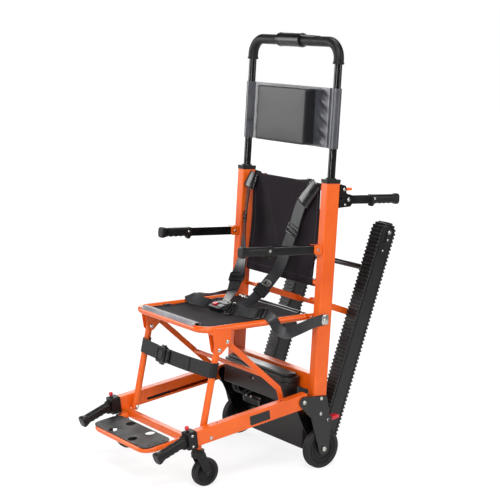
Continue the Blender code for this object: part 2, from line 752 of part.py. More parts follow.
def grip_outline(length, height, flare, hook):
    """A moulded grip's side view: finger waves below, a hook at its root and a flared end."""
    top, low = height / 2, -height / 2
    points = [(0.0, top), (length - 0.014, top), (length - 0.004, top + flare), (length, top + flare - 0.002),
              (length, low - flare + 0.002), (length - 0.004, low - flare), (length - 0.014, low)]
    first, last = 0.026, length - 0.018
    for i in range(4 * FINGERS, -1, -1):
        t = i / (4 * FINGERS)
        points.append((first + (last - first) * t, low + FINGER_DEPTH * math.sin(math.pi * FINGERS * t) ** 2))
    return points + [(0.016, low - hook), (0.004, low - hook), (0.0, low)]


def hand_bar(x, pivot, ahead, bar_length):
    """A flat bar with a moulded grip, which turns on a pin across the chair; ahead is -1 or 1 along Y."""
    def place(s, t):
        return (pivot[0] + ahead * s, pivot[1] + t)
    bar = tab(place(bar_length + 0.012, 0), pivot, BAR_H / 2)
    grip = [place(bar_length + s, t)
            for s, t in grip_outline(HAND_GRIP_L, HAND_GRIP_H, HAND_FLARE, HAND_HOOK)]
    hole = circle(pivot, PIN_R + RUN)
    return [side_plate([bar, hole], BAR_T, x), side_plate([grip], HAND_GRIP_W, x, 0.004)]


def carrying_handles(chair):
    """Armrest bars ahead of the uprights, and lift bars on brackets behind them."""
    for name, s in SIDES.items():
        x = s * UPRIGHT_X
        pivot = chair.pivot(f"armrest_{name}", (x, *ARM_PIVOT), chair.root)
        chair.part(f"armrest_{name}", "black_plastic", pivot, hand_bar(x, ARM_PIVOT, -1, ARM_BAR_L))

        low = REAR_PIVOT[1] - REAR_PLATE_H / 3
        high = low + REAR_PLATE_H
        root = UPRIGHT_REAR + GAP
        step, nose = LEVER_PIVOT[0] + 0.010, REAR_PIVOT[0] + 0.020
        cheek = [(root + WELD, low), (nose - 0.004, REAR_PIVOT[1] - 0.018), (nose, REAR_PIVOT[1]),
                 (nose - 0.004, REAR_PIVOT[1] + 0.019), (step + 0.004, REAR_PIVOT[1] + 0.023),
                 (step, high - 0.008), (root + WELD, high)]
        half = BAR_T / 2 + RUN + EAR_T / 2
        bolt = half + EAR_T / 2 + 0.002
        solids = [box((UPRIGHT_W, PLATE_T, REAR_PLATE_H), (x, root + PLATE_T / 2, (low + high) / 2))]
        solids += [side_plate([cheek], EAR_T, x + e * half) for e in (-1, 1)]
        solids += [cross_rod(x - bolt, x + bolt, REAR_PIVOT, PIN_R),
                   cross_rod(x - bolt, x + bolt, LEVER_PIVOT, LEVER_PIN_R)]
        chair.part(f"rear_handle_bracket_{name}", "black_coat", chair.root, solids)
        pivot = chair.pivot(f"rear_handle_{name}", (x, *REAR_PIVOT), chair.root)
        chair.part(f"rear_handle_{name}", "black_plastic", pivot, hand_bar(x, REAR_PIVOT, 1, REAR_BAR_L))
        pivot = chair.pivot(f"rear_handle_lever_{name}", (x, *LEVER_PIVOT), chair.root)
        tip = (LEVER_PIVOT[0] + LEVER_L, LEVER_PIVOT[1])
        loops = [band([LEVER_PIVOT, tip], LEVER_H / 2), circle(LEVER_PIVOT, LEVER_PIN_R + RUN / 2)]
        chair.part(f"rear_handle_lever_{name}", "orange_coat", pivot, [side_plate(loops, BAR_T - 0.002, x)])


def rail_section(width, height, wall, length, middle, x):
    """A hollow rectangle along the rails, or a solid one with no wall."""
    loops = [rounded_rect(width, height, 0.004, 2)]
    if wall:
        loops.append(rounded_rect(width - 2 * wall, height - 2 * wall, 0.002, 2))
    up = Vector((0, -math.sin(RAIL_SLOPE), math.cos(RAIL_SLOPE)))
    return flat(loops, length, frame_of((1, 0, 0), up, (x, *rail_point(middle))))


def lower_rails(chair):
    """The welded lower frame on its rear pivots, with end collars, lift handles and lock knobs."""
    pivot = chair.pivot("rail_frame", (0, *RAIL_PIVOT), chair.root)
    solids, cuts = [], []
    length = RAIL_REACH + RAIL_TAIL
    sleeve_low = CASTER_TOP + GAP
    hinge_y, hinge_z = FOOT_PIVOT
    beam_front = FRONT_BEAM_Y - FRONT_BEAM_D / 2
    for s in SIDES.values():
        x = s * UPRIGHT_X
        solids.append(rail_section(RAIL_W, RAIL_H, RAIL_WALL, length, (RAIL_REACH - RAIL_TAIL) / 2, x))
        under = rail_point(RAIL_REACH - CASTER_BACK, -RAIL_H / 2)[1]
        solids.append(rod((x, CASTER_Y, sleeve_low), (x, CASTER_Y, under + RAIL_WALL - GAP), SLEEVE_R, 12))
        solids.append(cross_rod(s * (RAIL_IN + WELD), s * (SEAT_X - LEG_R - 0.003), LEG_LOW, PIN_R))
        ear = s * (FOOT_EAR_X + EAR_T / 2)
        solids.append(side_plate([tab((beam_front + WELD, hinge_z), FOOT_PIVOT, 0.010),
                                  circle(FOOT_PIVOT, PIN_R + RUN)], EAR_T, ear))
        cuts.append(cross_rod(x - RAIL_W, x + RAIL_W, RAIL_PIVOT, RAIL_BOLT_R + RUN, 16))
        cuts.append(rod((x, CASTER_Y, sleeve_low - WELD), (x, CASTER_Y, under - WELD), STEM_R + RUN, 16))
        slot_middle = rail_point((SLOT_FROM + SLOT_TO) / 2, -SLOT_DROP)
        cuts.append(box((4 * RAIL_WALL, SLOT_TO - SLOT_FROM, SLOT_H), (s * RAIL_IN, *slot_middle), RAIL_SLOPE))
    solids.insert(2, box((2 * (RAIL_IN + WELD), FRONT_BEAM_D, FRONT_BEAM_H),
                         (0, FRONT_BEAM_Y, FRONT_BEAM_LOW + FRONT_BEAM_H / 2)))
    chair.part("rail_frame", "orange_coat", pivot, solids, cuts)

    up = Vector((0, -math.sin(RAIL_SLOPE), math.cos(RAIL_SLOPE)))
    for name, s in SIDES.items():
        x = s * UPRIGHT_X
        middle = RAIL_REACH + GAP + COLLAR_L / 2
        collar = flat([rounded_rect(RAIL_W + 2 * COLLAR_LIP, RAIL_H + 2 * COLLAR_LIP, 0.006, 2),
                       rounded_rect(SLIDER_W + 2 * RUN, SLIDER_H + 2 * RUN, RUN, 1)],
                      COLLAR_L, frame_of((1, 0, 0), up, (x, *rail_point(middle))))
        knob_s, top = RAIL_REACH + 0.7 * COLLAR_L, RAIL_H / 2 + COLLAR_LIP
        hole = rod((x, *rail_point(knob_s, SLIDER_H / 2)), (x, *rail_point(knob_s, top + WELD)),
                   KNOB_STEM_R + RUN, 12)
        chair.part(f"rail_collar_{name}", "black_plastic", pivot, [collar], [hole])

        knob_pivot = chair.pivot(f"lock_knob_{name}", (x, *rail_point(knob_s, top)), pivot)
        stem = rod((x, *rail_point(knob_s, SLIDER_H / 2 + RUN + GAP)),
                   (x, *rail_point(knob_s, top + KNOB_RISE)), KNOB_STEM_R, 8)
        chair.part(f"lock_knob_{name}", "red", knob_pivot,
                   [stem, ball((x, *rail_point(knob_s, top + KNOB_RISE)), KNOB_R)])

        slide = chair.pivot(f"lift_handle_{name}", (x, *rail_point(RAIL_REACH)), pivot)
        slider = [rail_point(a, b) for a, b in ((RAIL_REACH - SLIDER_IN, -SLIDER_H / 2),
                                                (LIFT_START + 0.012, -SLIDER_H / 2 + 0.002),
                                                (LIFT_START + 0.012, SLIDER_H / 2 - 0.004),
                                                (LIFT_START - 0.002, SLIDER_H / 2),
                                                (RAIL_REACH - SLIDER_IN, SLIDER_H / 2))]
        cos, sin = math.cos(LIFT_DROOP), math.sin(LIFT_DROOP)
        grip = [rail_point(LIFT_START + 0.004 + a * cos + b * sin, -a * sin + b * cos)
                for a, b in grip_outline(LIFT_GRIP_L, LIFT_GRIP_H, LIFT_FLARE, HAND_HOOK)]
        chair.part(f"lift_handle_{name}", "black_plastic", slide,
                   [side_plate([slider], SLIDER_W, x), side_plate([grip], LIFT_GRIP_W, x, 0.004)])
    return pivot


def casters(chair, rails):
    """Swivel forks under the rails' front ends, with trailing wheels."""
    wheel_y = CASTER_Y + CASTER_TRAIL
    half = CASTER_W / 2
    for name, s in SIDES.items():
        x = s * UPRIGHT_X
        swivel = chair.pivot(f"caster_{name}", (x, CASTER_Y, CASTER_TOP), rails)
        under = rail_point(RAIL_REACH - CASTER_BACK, -RAIL_H / 2)[1]
        low = CASTER_TOP - CASTER_HUB_H
        cheek = hull((CASTER_Y, low + 0.012, 0.017), (CASTER_Y + 0.010, low + 0.012, 0.011),
                     (wheel_y, CASTER_R, 0.013))
        offset = half + 0.0015 + CASTER_CHEEK / 2
        solids = [rod((x, CASTER_Y, low), (x, CASTER_Y, CASTER_TOP), CASTER_HUB_R, 14),
                  rod((x, CASTER_Y, CASTER_TOP - WELD), (x, CASTER_Y, under - 2 * WELD), STEM_R)]
        solids += [side_plate([cheek], CASTER_CHEEK, x + e * offset) for e in (-1, 1)]
        bolt = offset + CASTER_CHEEK / 2 + 0.002
        solids.append(cross_rod(x - bolt, x + bolt, (wheel_y, CASTER_R), PIN_R))
        chair.part(f"caster_fork_{name}", "black_plastic", swivel, solids)
        axle = chair.pivot(f"caster_wheel_{name}", (x, wheel_y, CASTER_R), swivel)
        bore, rim = PIN_R + RUN, CASTER_R
        profile = [(bore, half - 0.001), (bore + 0.008, half - 0.001), (rim - 0.018, half - 0.004),
                   (rim - 0.015, half), (rim - 0.005, half), (rim, half - 0.005)]
        chair.part(f"caster_wheel_{name}", "wheel", axle,
                   [turned(mirrored(profile), (x, wheel_y, CASTER_R), 20)])


def rear_wheels(chair):
    """Folded wheel brackets with their axles, the rear wheels and the brake levers."""
    outline = hull((*RAIL_PIVOT, 0.021), (UPRIGHT_REAR - 0.011, RAIL_PIVOT[1] + 0.006, 0.012),
                   (*BRAKE_PIVOT, 0.018), (0.0, WHEEL_R, 0.022))
    for name, s in SIDES.items():
        inside, outside = UPRIGHT_IN - GAP, UPRIGHT_OUT + GAP
        plates = [side_plate([outline], PLATE_T, s * (outside + PLATE_T / 2)),
                  side_plate([outline], PLATE_T, s * (inside - PLATE_T / 2))]
        near, far = s * (inside - PLATE_T - 0.001), s * (outside + PLATE_T + 0.003)
        solids = plates[:1] + [cross_rod(near, far, (0.0, WHEEL_R), AXLE_R)] + plates[1:]
        solids += [cross_rod(near, far, RAIL_PIVOT, RAIL_BOLT_R), cross_rod(near, far, BRAKE_PIVOT, PIN_R)]
        face = s * (outside + PLATE_T - WELD)
        solids += [cross_rod(face, far, (UPRIGHT_Y, RAIL_PIVOT[1] + dz), 0.006) for dz in (0.008, -0.046)]
        chair.part(f"wheel_bracket_{name}", "black_coat", chair.root, solids)

        axle = chair.pivot(f"rear_wheel_{name}", (s * WHEEL_X, 0.0, WHEEL_R), chair.root)
        half, bore, rim = WHEEL_W / 2, AXLE_R + RUN, WHEEL_R
        profile = [(bore, half - 0.0005), (bore + 0.011, half - 0.0005), (rim - 0.026, half - 0.004),
                   (rim - 0.022, half), (rim - 0.007, half), (rim, half - 0.006)]
        chair.part(f"rear_wheel_{name}", "wheel", axle,
                   [turned(mirrored(profile), (s * WHEEL_X, 0.0, WHEEL_R), 26)])

        pivot = chair.pivot(f"brake_lever_{name}", (s * WHEEL_X, *BRAKE_PIVOT), chair.root)
        tip = (BRAKE_PIVOT[0] + BRAKE_L, BRAKE_PIVOT[1] + 0.012)
        chair.part(f"brake_lever_{name}", "red", pivot,
                   [side_plate([band([BRAKE_PIVOT, (BRAKE_PIVOT[0] + 0.02, BRAKE_PIVOT[1] + 0.001), tip], 0.007),
                                circle(BRAKE_PIVOT, PIN_R + RUN)], BRAKE_W, s * WHEEL_X)])


def footrest(chair, rails):
    """A tube loop hinged on the front beam, with a drilled plate and rubber feet under it."""
    pivot = chair.pivot("footrest", (0, *FOOT_PIVOT), rails)
    start, end = foot_point(-0.004), foot_point(FOOT_L)
    corners = [(-FOOT_HALF, *start), (-FOOT_HALF, *end), (FOOT_HALF, *end), (FOOT_HALF, *start)]
    solids = [tube(fillet(corners, FOOT_BEND, 4), FOOT_TUBE_R)]
    solids += [cross_rod(s * FOOT_HALF, s * (FOOT_EAR_X + EAR_T + 0.002), FOOT_PIVOT, PIN_R)
               for s in SIDES.values()]
    chair.part("footrest_frame", "orange_coat", pivot, solids)

    # The plate's drawing runs from the hinge towards the front, seen from above.
    back = Vector((0, math.cos(FOOT_TILT), math.sin(FOOT_TILT)))
    above = FOOT_TUBE_R + GAP + FOOT_PLATE_T / 2
    front = FOOT_L + 0.4 * FOOT_TUBE_R
    outline = rounded_rect(2 * FOOT_HALF + 0.4 * FOOT_TUBE_R, front - FOOT_PLATE_START, 0.030, 4,
                           (0.0, -(front + FOOT_PLATE_START) / 2))
    holes = [circle((s * FOOT_HOLE_X, -at), FOOT_HOLE_R, 14) for s in (1, -1) for at in FOOT_HOLES_AT]
    plate = flat([outline, *holes], FOOT_PLATE_T, frame_of((1, 0, 0), back, (0, *foot_point(0.0, above))))
    feet = []
    for s in SIDES.values():
        at = FOOT_L - FOOT_TUBE_R - BUMPER_R - 0.004
        feet.append(rod((s * BUMPER_X, *foot_point(at, above)),
                        (s * BUMPER_X, *foot_point(at, above - BUMPER_H)), BUMPER_R))
    chair.part("footrest_plate", "black_plastic", pivot, [plate, *feet])


def seat(chair):
    """The seat's tube loop, cloth and front strip, on sprung latch pins in a hinge bar."""
    pivot = chair.pivot("seat", (0, *SEAT_PIVOT), chair.root)
    rear = SEAT_PIVOT[0] - 2 * SEAT_TUBE_R
    corners = [(-SEAT_X, rear, seat_z(rear)), (-SEAT_X, SEAT_FRONT, seat_z(SEAT_FRONT)),
               (SEAT_X, SEAT_FRONT, seat_z(SEAT_FRONT)), (SEAT_X, rear, seat_z(rear))]
    solids = [tube(fillet(corners, SEAT_BEND, 4), SEAT_TUBE_R)]
    web_y = LEG_TOP[0] + 0.007
    web_top = seat_z(web_y) - SEAT_TUBE_R + 0.003
    gap = LEG_R + 0.0005 + GUSSET_T / 2
    web_half = GUSSET_WEB_L / 2 - 0.006
    plate = hull((*LEG_TOP, 0.017), (*BRACE_PIVOT, 0.014), (web_y - web_half, web_top - 0.005, 0.004),
                 (web_y + web_half, web_top - 0.005, 0.004))
    eye = (SEAT_PIVOT[0] - 0.045, seat_z(SEAT_PIVOT[0] - 0.045))
    for s in SIDES.values():
        x = s * SEAT_X
        solids.append(side_plate([band([SEAT_PIVOT, eye], SEAT_TUBE_R - 0.001),
                                  circle(SEAT_PIVOT, LATCH_R + RUN)], SEAT_EAR_T, x))
        solids.append(box((2 * gap + GUSSET_T, GUSSET_WEB_L, 0.008), (x, web_y, web_top - 0.004), SEAT_SLOPE))
        solids += [side_plate([plate], GUSSET_T, x + e * gap) for e in (-1, 1)]
        pin = gap + GUSSET_T / 2 + 0.0008
        solids += [cross_rod(x - pin, x + pin, at, PIN_R) for at in (LEG_TOP, BRACE_PIVOT)]
    chair.part("seat_frame", "orange_coat", pivot, solids)

    bm = bmesh.new()
    grid = 8
    spread = bmesh.ops.create_grid(bm, x_segments=grid, y_segments=grid, size=1.0)
    middle, half = (SEAT_CLOTH_FRONT + SEAT_CLOTH_REAR) / 2, (SEAT_CLOTH_REAR - SEAT_CLOTH_FRONT) / 2
    for vertex in spread["verts"]:
        u, v = vertex.co.x, vertex.co.y
        y = middle + v * half
        # The front corners follow the bend of the tube.
        bend = SEAT_BEND - SEAT_TUBE_R - GAP
        depth = min(max(0.0, SEAT_FRONT + SEAT_BEND - y), bend)
        x = u * (SEAT_CLOTH_HALF - bend + math.sqrt(bend ** 2 - depth ** 2))
        vertex.co = (x, y, seat_cloth_z(x, y))
    cloth = bpy.data.objects.new("cloth", from_bmesh(bm))
    shell = cloth.modifiers.new("thickness", "SOLIDIFY")
    shell.thickness = SEAT_CLOTH_T
    shell.offset = 0.0
    chair.part("seat_panel", "cloth", pivot, [evaluated(cloth)])

    strip_y = SEAT_CLOTH_FRONT + STRIP_D / 2 + GAP
    lift = SEAT_CLOTH_T / 2 + STRIP_T / 2 + GAP
    chair.part("seat_front_strip", "steel", pivot,
               [box((STRIP_W, STRIP_D, STRIP_T), (0, strip_y, seat_z(strip_y) + lift), SEAT_SLOPE)])

    bar = cross_rod(-HINGE_BAR_HALF, HINGE_BAR_HALF, SEAT_PIVOT, HINGE_BAR_R)
    bore = cross_rod(-2 * HINGE_BAR_HALF, 2 * HINGE_BAR_HALF, SEAT_PIVOT, LATCH_R + RUN, 12)
    chair.part("seat_hinge_bar", "black_coat", pivot, [bar], [bore])
    for name, s in SIDES.items():
        slide = chair.pivot(f"seat_latch_{name}", (s * LATCH_IN, *SEAT_PIVOT), pivot)
        chair.part(f"seat_latch_pin_{name}", "steel", slide,
                   [cross_rod(s * LATCH_IN, s * (UPRIGHT_IN - LATCH_STOP), SEAT_PIVOT, LATCH_R, 8)])
    return pivot


def legs(chair, seat_pivot):
    """The front legs between the seat and the rails, and the strap that holds the sitter's shins."""
    pivot = chair.pivot("legs", (0, *LEG_TOP), seat_pivot)
    up = Vector((0, math.sin(LEG_LEAN), math.cos(LEG_LEAN)))
    over = up * LEG_OVER
    for name, s in SIDES.items():
        x = s * SEAT_X
        high, low = Vector((x, *LEG_TOP)), Vector((x, *LEG_LOW))
        bores = [cross_rod(x - 2 * LEG_R, x + 2 * LEG_R, at, PIN_R + RUN) for at in (LEG_TOP, LEG_LOW)]
        chair.part(f"leg_{name}", "orange_coat", pivot, [rod(low - over, high + over, LEG_R, 12)], bores)

    middle = Vector((0, *LEG_TOP)) - up * LEG_STRAP_AT
    frame = frame_of((1, 0, 0), up.cross(Vector((1, 0, 0))), middle)
    outer = LEG_R + 2 * RUN + STRAP_T
    solids = [flat([circle((s * SEAT_X, 0), outer, 14), circle((s * SEAT_X, 0), LEG_R + 2 * RUN, 14)],
                   LEG_STRAP_W, frame) for s in SIDES.values()]
    sheet = rounded_rect(2 * SEAT_X, STRAP_T - 0.0006, 0.0004, 1, (0, -outer + STRAP_T / 2))
    solids.insert(1, flat([sheet], LEG_STRAP_W - 0.001, frame))
    buckle = rounded_rect(LEG_BUCKLE[0], LEG_BUCKLE[1], 0.004, 2,
                          (LEG_BUCKLE_X, -outer + STRAP_T / 2 - LEG_BUCKLE[1] / 2))
    solids.append(flat([buckle], LEG_BUCKLE[2], frame))
    chair.part("leg_strap", "webbing", pivot, solids)


def brace(chair, seat_pivot):
    """The folding brace: bent flat bars on the seat, joined by a bar, with feet that slide in the rails."""
    pivot = chair.pivot("seat_brace", (0, *BRACE_PIVOT), seat_pivot)
    t = (BRACE_BAR_Y - BRACE_PIVOT[0]) / (BRACE_BEND[0] - BRACE_PIVOT[0])
    bar_at = (BRACE_BAR_Y, BRACE_PIVOT[1] + t * (BRACE_BEND[1] - BRACE_PIVOT[1]))
    solids = []
    for s in SIDES.values():
        line = [BRACE_PIVOT, BRACE_BEND, BRACE_LOW]
        solids.append(side_plate([band(line, BRACE_W / 2), circle(BRACE_PIVOT, PIN_R + RUN)],
                                 BRACE_T, s * SEAT_X))
        solids.append(cross_rod(s * SEAT_X, s * (RAIL_IN - GAP), BRACE_LOW, SLOT_H / 2 - GAP))
    solids.insert(1, cross_rod(-SEAT_X, SEAT_X, bar_at, BRACE_BAR_R))
    chair.part("seat_brace", "orange_coat", pivot, solids)


def belt(frame):
    """A ribbed belt round two pulleys, drawn along its length in the frame's axes."""
    base = BELT_IN_R + BELT_T
    turn = math.pi * base
    around = 2 * (TRACK_CENTRES + turn)
    count = round(around / RIB_PITCH)

    def at(s, height):
        s %= around
        r = base + height
        if s < TRACK_CENTRES:
            return (r, s)
        if s < TRACK_CENTRES + turn:
            a = (s - TRACK_CENTRES) / base
            return (r * math.cos(a), TRACK_CENTRES + r * math.sin(a))
        if s < 2 * TRACK_CENTRES + turn:
            return (-r, 2 * TRACK_CENTRES + turn - s)
        a = (s - 2 * TRACK_CENTRES - turn) / base
        return (-r * math.cos(a), -r * math.sin(a))

    # Each rib has six points in side view: its foot, its top, and the inside of the belt under its foot.
    bm = bmesh.new()
    near, far = [], []
    for k in range(count):
        s = (k + 0.5) * around / count
        points = [at(s - RIB_FOOT / 2, 0), at(s - RIB_TOP / 2, RIB_H), at(s + RIB_TOP / 2, RIB_H),
                  at(s + RIB_FOOT / 2, 0), at(s + RIB_FOOT / 2, -BELT_T), at(s - RIB_FOOT / 2, -BELT_T)]
        near.append([bm.verts.new((u, v, BELT_W / 2)) for u, v in points])
        far.append([bm.verts.new((u, v, -BELT_W / 2)) for u, v in points])
    for k in range(count):
        a, b = near[k], far[k]
        c, d = near[(k + 1) % count], far[(k + 1) % count]
        bm.faces.new(a)
        bm.faces.new(b[::-1])
        bm.faces.new((a[3], c[0], c[5], a[4]))
        bm.faces.new((b[4], d[5], d[0], b[3]))
        for i, j in ((0, 1), (1, 2), (2, 3), (4, 5)):
            bm.faces.new((a[i], b[i], b[j], a[j]))
        bm.faces.new((a[3], b[3], d[0], c[0]))
        bm.faces.new((c[5], d[5], b[4], a[4]))
    bmesh.ops.recalc_face_normals(bm, faces=bm.faces)
    return from_bmesh(bm, frame)


def tracks(chair):
    """Stair tracks on the drive shaft, with their beams, ribbed belts, idlers and the link that props them."""
    pivot = chair.pivot("tracks", (0, *TRACK_PIVOT), chair.root)
    behind = (0, math.cos(TRACK_LEAN), -math.sin(TRACK_LEAN))
    up = (0, math.sin(TRACK_LEAN), math.cos(TRACK_LEAN))

    def drawn(x):
        return frame_of(behind, up, (x, *TRACK_PIVOT))

    edge = math.degrees(math.acos(-BEAM_FRONT / BEAM_BACK))
    outline = (arc((0, 0), BEAM_BACK, edge, 360, 10)
               + arc((0, TRACK_CENTRES), BEAM_BACK, 0, 360 - edge, 10))
    solids, cuts = [], []
    holes = [circle((0, 0), SHAFT_R + RUN), circle((0, TRACK_CENTRES), IDLER_AXLE_R + RUN)]
    for s in SIDES.values():
        x = s * TRACK_X
        solids.append(flat([outline, *holes], 2 * BEAM_HALF, drawn(x)))
        cuts += [cross_rod(x - PULLEY_HALF - RUN, x + PULLEY_HALF + RUN, at, PULLEY_R + 0.003, 16)
                 for at in (TRACK_PIVOT, track_point(TRACK_CENTRES))]
    inner = TRACK_X - BEAM_HALF + 2 * WELD
    solids.insert(1, cross_rod(-inner, inner, track_point(CROSS_TUBE_AT, 0.005), CROSS_TUBE_R))
    chair.part("track_frame", "black_coat", pivot, solids, cuts)
    for name, s in SIDES.items():
        chair.part(f"track_belt_{name}", "rubber", pivot, [belt(drawn(s * TRACK_X))])
        x, top = s * TRACK_X, track_point(TRACK_CENTRES)
        idler = chair.pivot(f"track_idler_{name}", (x, *top), pivot)
        chair.part(f"track_idler_{name}", "black_plastic", idler,
                   [cross_rod(x - PULLEY_HALF, x + PULLEY_HALF, top, PULLEY_R, 16),
                    cross_rod(x - BEAM_HALF - 0.001, x + BEAM_HALF + 0.001, top, IDLER_AXLE_R)])

    shaft = chair.pivot("drive_shaft", (0, *TRACK_PIVOT), pivot)
    reach = TRACK_X + BEAM_HALF + 0.001
    chair.part("drive_shaft", "steel", shaft,
               [cross_rod(-reach, reach, TRACK_PIVOT, SHAFT_R)]
               + [cross_rod(s * TRACK_X - PULLEY_HALF, s * TRACK_X + PULLEY_HALF, TRACK_PIVOT, PULLEY_R, 16)
                  for s in SIDES.values()])

    hinge = chair.pivot("track_link", (0, *LINK_PIVOT), chair.root)
    end = TRACK_X - BELT_W / 2 - GAP
    arms = [side_plate([band([LINK_PIVOT, LINK_LOW], LINK_BAR_H / 2), circle(LINK_PIVOT, LINK_STUB_R + RUN)],
                       LINK_BAR_T, s * LINK_X) for s in SIDES.values()]
    chair.part("track_link", "orange_coat", hinge,
               [arms[0], cross_rod(-end, end, LINK_LOW, LINK_TUBE_R), arms[1]])


def drive(chair):
    """The battery box on the base beam and the gear housing round the drive shaft."""
    rear = BASE_BEAM_Y - BASE_BEAM_D / 2 - GAP
    centre_y = rear - BATTERY_D / 2
    case = rounded_rect(BATTERY_W, BATTERY_D, BATTERY_ROUND, 4)
    lid = rounded_rect(BATTERY_W - 2 * LID_INSET, BATTERY_D - 2 * LID_INSET, BATTERY_ROUND - LID_INSET, 4)
    high = BATTERY_LOW + BATTERY_H
    chair.part("battery_box", "black_plastic", chair.root,
               [plan_plate([case], BATTERY_H, (0, centre_y, (BATTERY_LOW + high) / 2), BATTERY_EDGE),
                plan_plate([lid], LID_H + 0.004, (0, centre_y, high + LID_H / 2 - 0.002), 0.004)])

    top = BASE_BEAM_LOW - GAP
    neck = BASE_BEAM_Y - BASE_BEAM_D / 2 + 0.003
    shaft_y, shaft_z = TRACK_PIVOT
    front = shaft_y - 0.072
    outline = [(front, HOUSING_LOW), (shaft_y + 0.025, HOUSING_LOW), (shaft_y + 0.052, shaft_z - 0.035),
               (shaft_y + 0.052, shaft_z + 0.040), (shaft_y, shaft_z + 0.115),
               (BASE_BEAM_Y + BASE_BEAM_D / 2, top), (neck, top), (neck, top - 0.027), (front, shaft_z + 0.095)]
    boss = TRACK_X - BELT_W / 2 - GAP
    solids = [side_plate([outline], HOUSING_W, 0.0, HOUSING_EDGE),
              cross_rod(MOTOR_FROM, MOTOR_TO, MOTOR_AT, MOTOR_R, 20),
              cross_rod(-boss, boss, TRACK_PIVOT, SHAFT_R + 0.014, 16)]
    bore = cross_rod(-HOUSING_W, HOUSING_W, TRACK_PIVOT, SHAFT_R + RUN, 16)
    chair.part("drive_housing", "black_plastic", chair.root, solids, [bore])


def harness(chair, seat_pivot):
    """Shoulder straps and lap belts that meet at a buckle lying on the seat."""
    x, y = BUCKLE_AT
    floor = seat_cloth_z(x, y) + SEAT_CLOTH_T / 2 + 0.0030
    middle = floor + BUCKLE[2] / 2
    well = [d + 2 * GAP for d in BUTTON[:2]]
    button_x, button_y = x - 0.020, y - 0.006
    body = plan_plate([rounded_rect(BUCKLE[0], BUCKLE[1], 0.008, 3)], BUCKLE[2], (x, y, middle), 0.003)
    chair.part("harness_buckle", "black_plastic", seat_pivot, [body],
               [box((*well, 2 * BUTTON[2]), (button_x, button_y, floor + BUCKLE[2]))])
    press = chair.pivot("buckle_button", (button_x, button_y, floor + BUCKLE[2]), seat_pivot)
    proud = floor + BUCKLE[2] + BUTTON_PROUD - BUTTON[2] / 2
    chair.part("buckle_button", "red", press, [box(BUTTON, (button_x, button_y, proud))])

    top = BACK_TOP[1] + 0.004
    cloth_front = BACK_TOP[0] - BACK_TUBE_R - 2 * GAP - BACK_CLOTH_T
    touch = cloth_front - STRAP_T / 2 - GAP
    end = y + BUCKLE[1] / 2 + GAP
    ahead, upward = (0, -1, 0), (0, -0.5, 0.87)

    def route(shares, lead, curl):
        """Route from the top tube to the buckle: shares of the upright's distance, the way ahead and the drop."""
        points = [(u * UPRIGHT_X, touch + (end - touch) * v, middle + (top - middle) * w) for u, v, w in shares]
        turn = (1.107 * BUCKLE[1], curl[0] * BUCKLE[2]), (0.5 * BUCKLE[1], curl[1] * BUCKLE[2]), (0.0008, 0.002)
        return points + [(x + lead * BUCKLE[0], end + back, middle + up) for back, up in turn]

    left = route([(0.584, 0, 1), (0.459, 0.0475, 0.795), (0.327, 0.095, 0.625), (0.249, 0.19, 0.433),
                  (0.202, 0.356, 0.284), (0.101, 0.532, 0.167)], 0.2436, (2.444, 0.556))
    right = route([(-0.584, 0, 1), (-0.591, 0.0475, 0.753), (-0.584, 0.1, 0.497), (-0.506, 0.214, 0.284),
                   (-0.412, 0.38, 0.160), (-0.319, 0.546, 0.105)], -0.2436, (1.667, 0.444))
    faces = [ahead] * 4 + [(0, -0.8, 0.6), upward, upward, (0, -0.2, 1), (0, 0, 1)]
    widths = [STRAP_W] * 5 + [0.8 * STRAP_W] + [0.565 * STRAP_W] * 3
    for name, line in (("left", left), ("right", right)):
        chair.part(f"shoulder_strap_{name}", "webbing", chair.root, [ribbon(line, faces, widths)])

    # Each lap belt leaves the outer face of its upright and comes in over the seat tube.
    wall = UPRIGHT_OUT + STRAP_T / 2 + GAP
    over = seat_z(y + 0.005) + SEAT_TUBE_R + 0.006
    lie = seat_cloth_z(0.54 * SEAT_X, y) + SEAT_CLOTH_T / 2 + 0.006
    for name, s in SIDES.items():
        stop = x + s * (BUCKLE[0] / 2 + 0.0008)
        droop = 0.030 if s > 0 else 0.006
        ahead = [UPRIGHT_FRONT + (y - UPRIGHT_FRONT) * v for v in (0.139, 0.421, 0.676, 0.838, 0.940)]
        low = SEAT_PIVOT[1] - 0.007
        line = [(s * wall, UPRIGHT_Y - 0.004, low), (s * wall, ahead[0], low - 0.004 - 0.3 * droop),
                (s * (UPRIGHT_X + 0.005), ahead[1], low - 0.007 - droop),
                (s * (UPRIGHT_X - 0.007), ahead[2], over - 0.012 - 0.3 * droop),
                (s * (SEAT_X + 0.014), ahead[3], over + 0.004), (s * (SEAT_X - 0.008), ahead[4], over + 0.004),
                (s * 0.766 * SEAT_X, y + 0.004, lie + 0.004), (s * 0.4955 * SEAT_X, y, lie), (stop, y, middle)]
        looks = [(s, 0, 0), (s, 0, 0), (s, 0, 0.3), (s, 0, 0.6), (s * 0.7, 0, 0.8), (0, 0, 1), (0, 0, 1),
                 (0, 0, 1), (0, 0, 1)]
        chair.part(f"lap_belt_{name}", "webbing", chair.root, [ribbon(line, looks, [0.86 * STRAP_W] * len(line))])


def main():
    chair = Chair()
    back_frame(chair)
    push_handle(chair)
    carrying_handles(chair)
    rails = lower_rails(chair)
    casters(chair, rails)
    rear_wheels(chair)
    footrest(chair, rails)
    seat_pivot = seat(chair)
    legs(chair, seat_pivot)
    brace(chair, seat_pivot)
    tracks(chair)
    drive(chair)
    harness(chair, seat_pivot)
    chair.centre()


main()
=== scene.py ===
"""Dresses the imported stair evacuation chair, so that each solid gets its finished shape and finish.

Places are written as on the chair's own drawing, in metres: x to the sitter's left, y back from the
rear axle, z up from the floor. `Assembly.piece` sets every finished piece back by the axle's place in
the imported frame.
"""

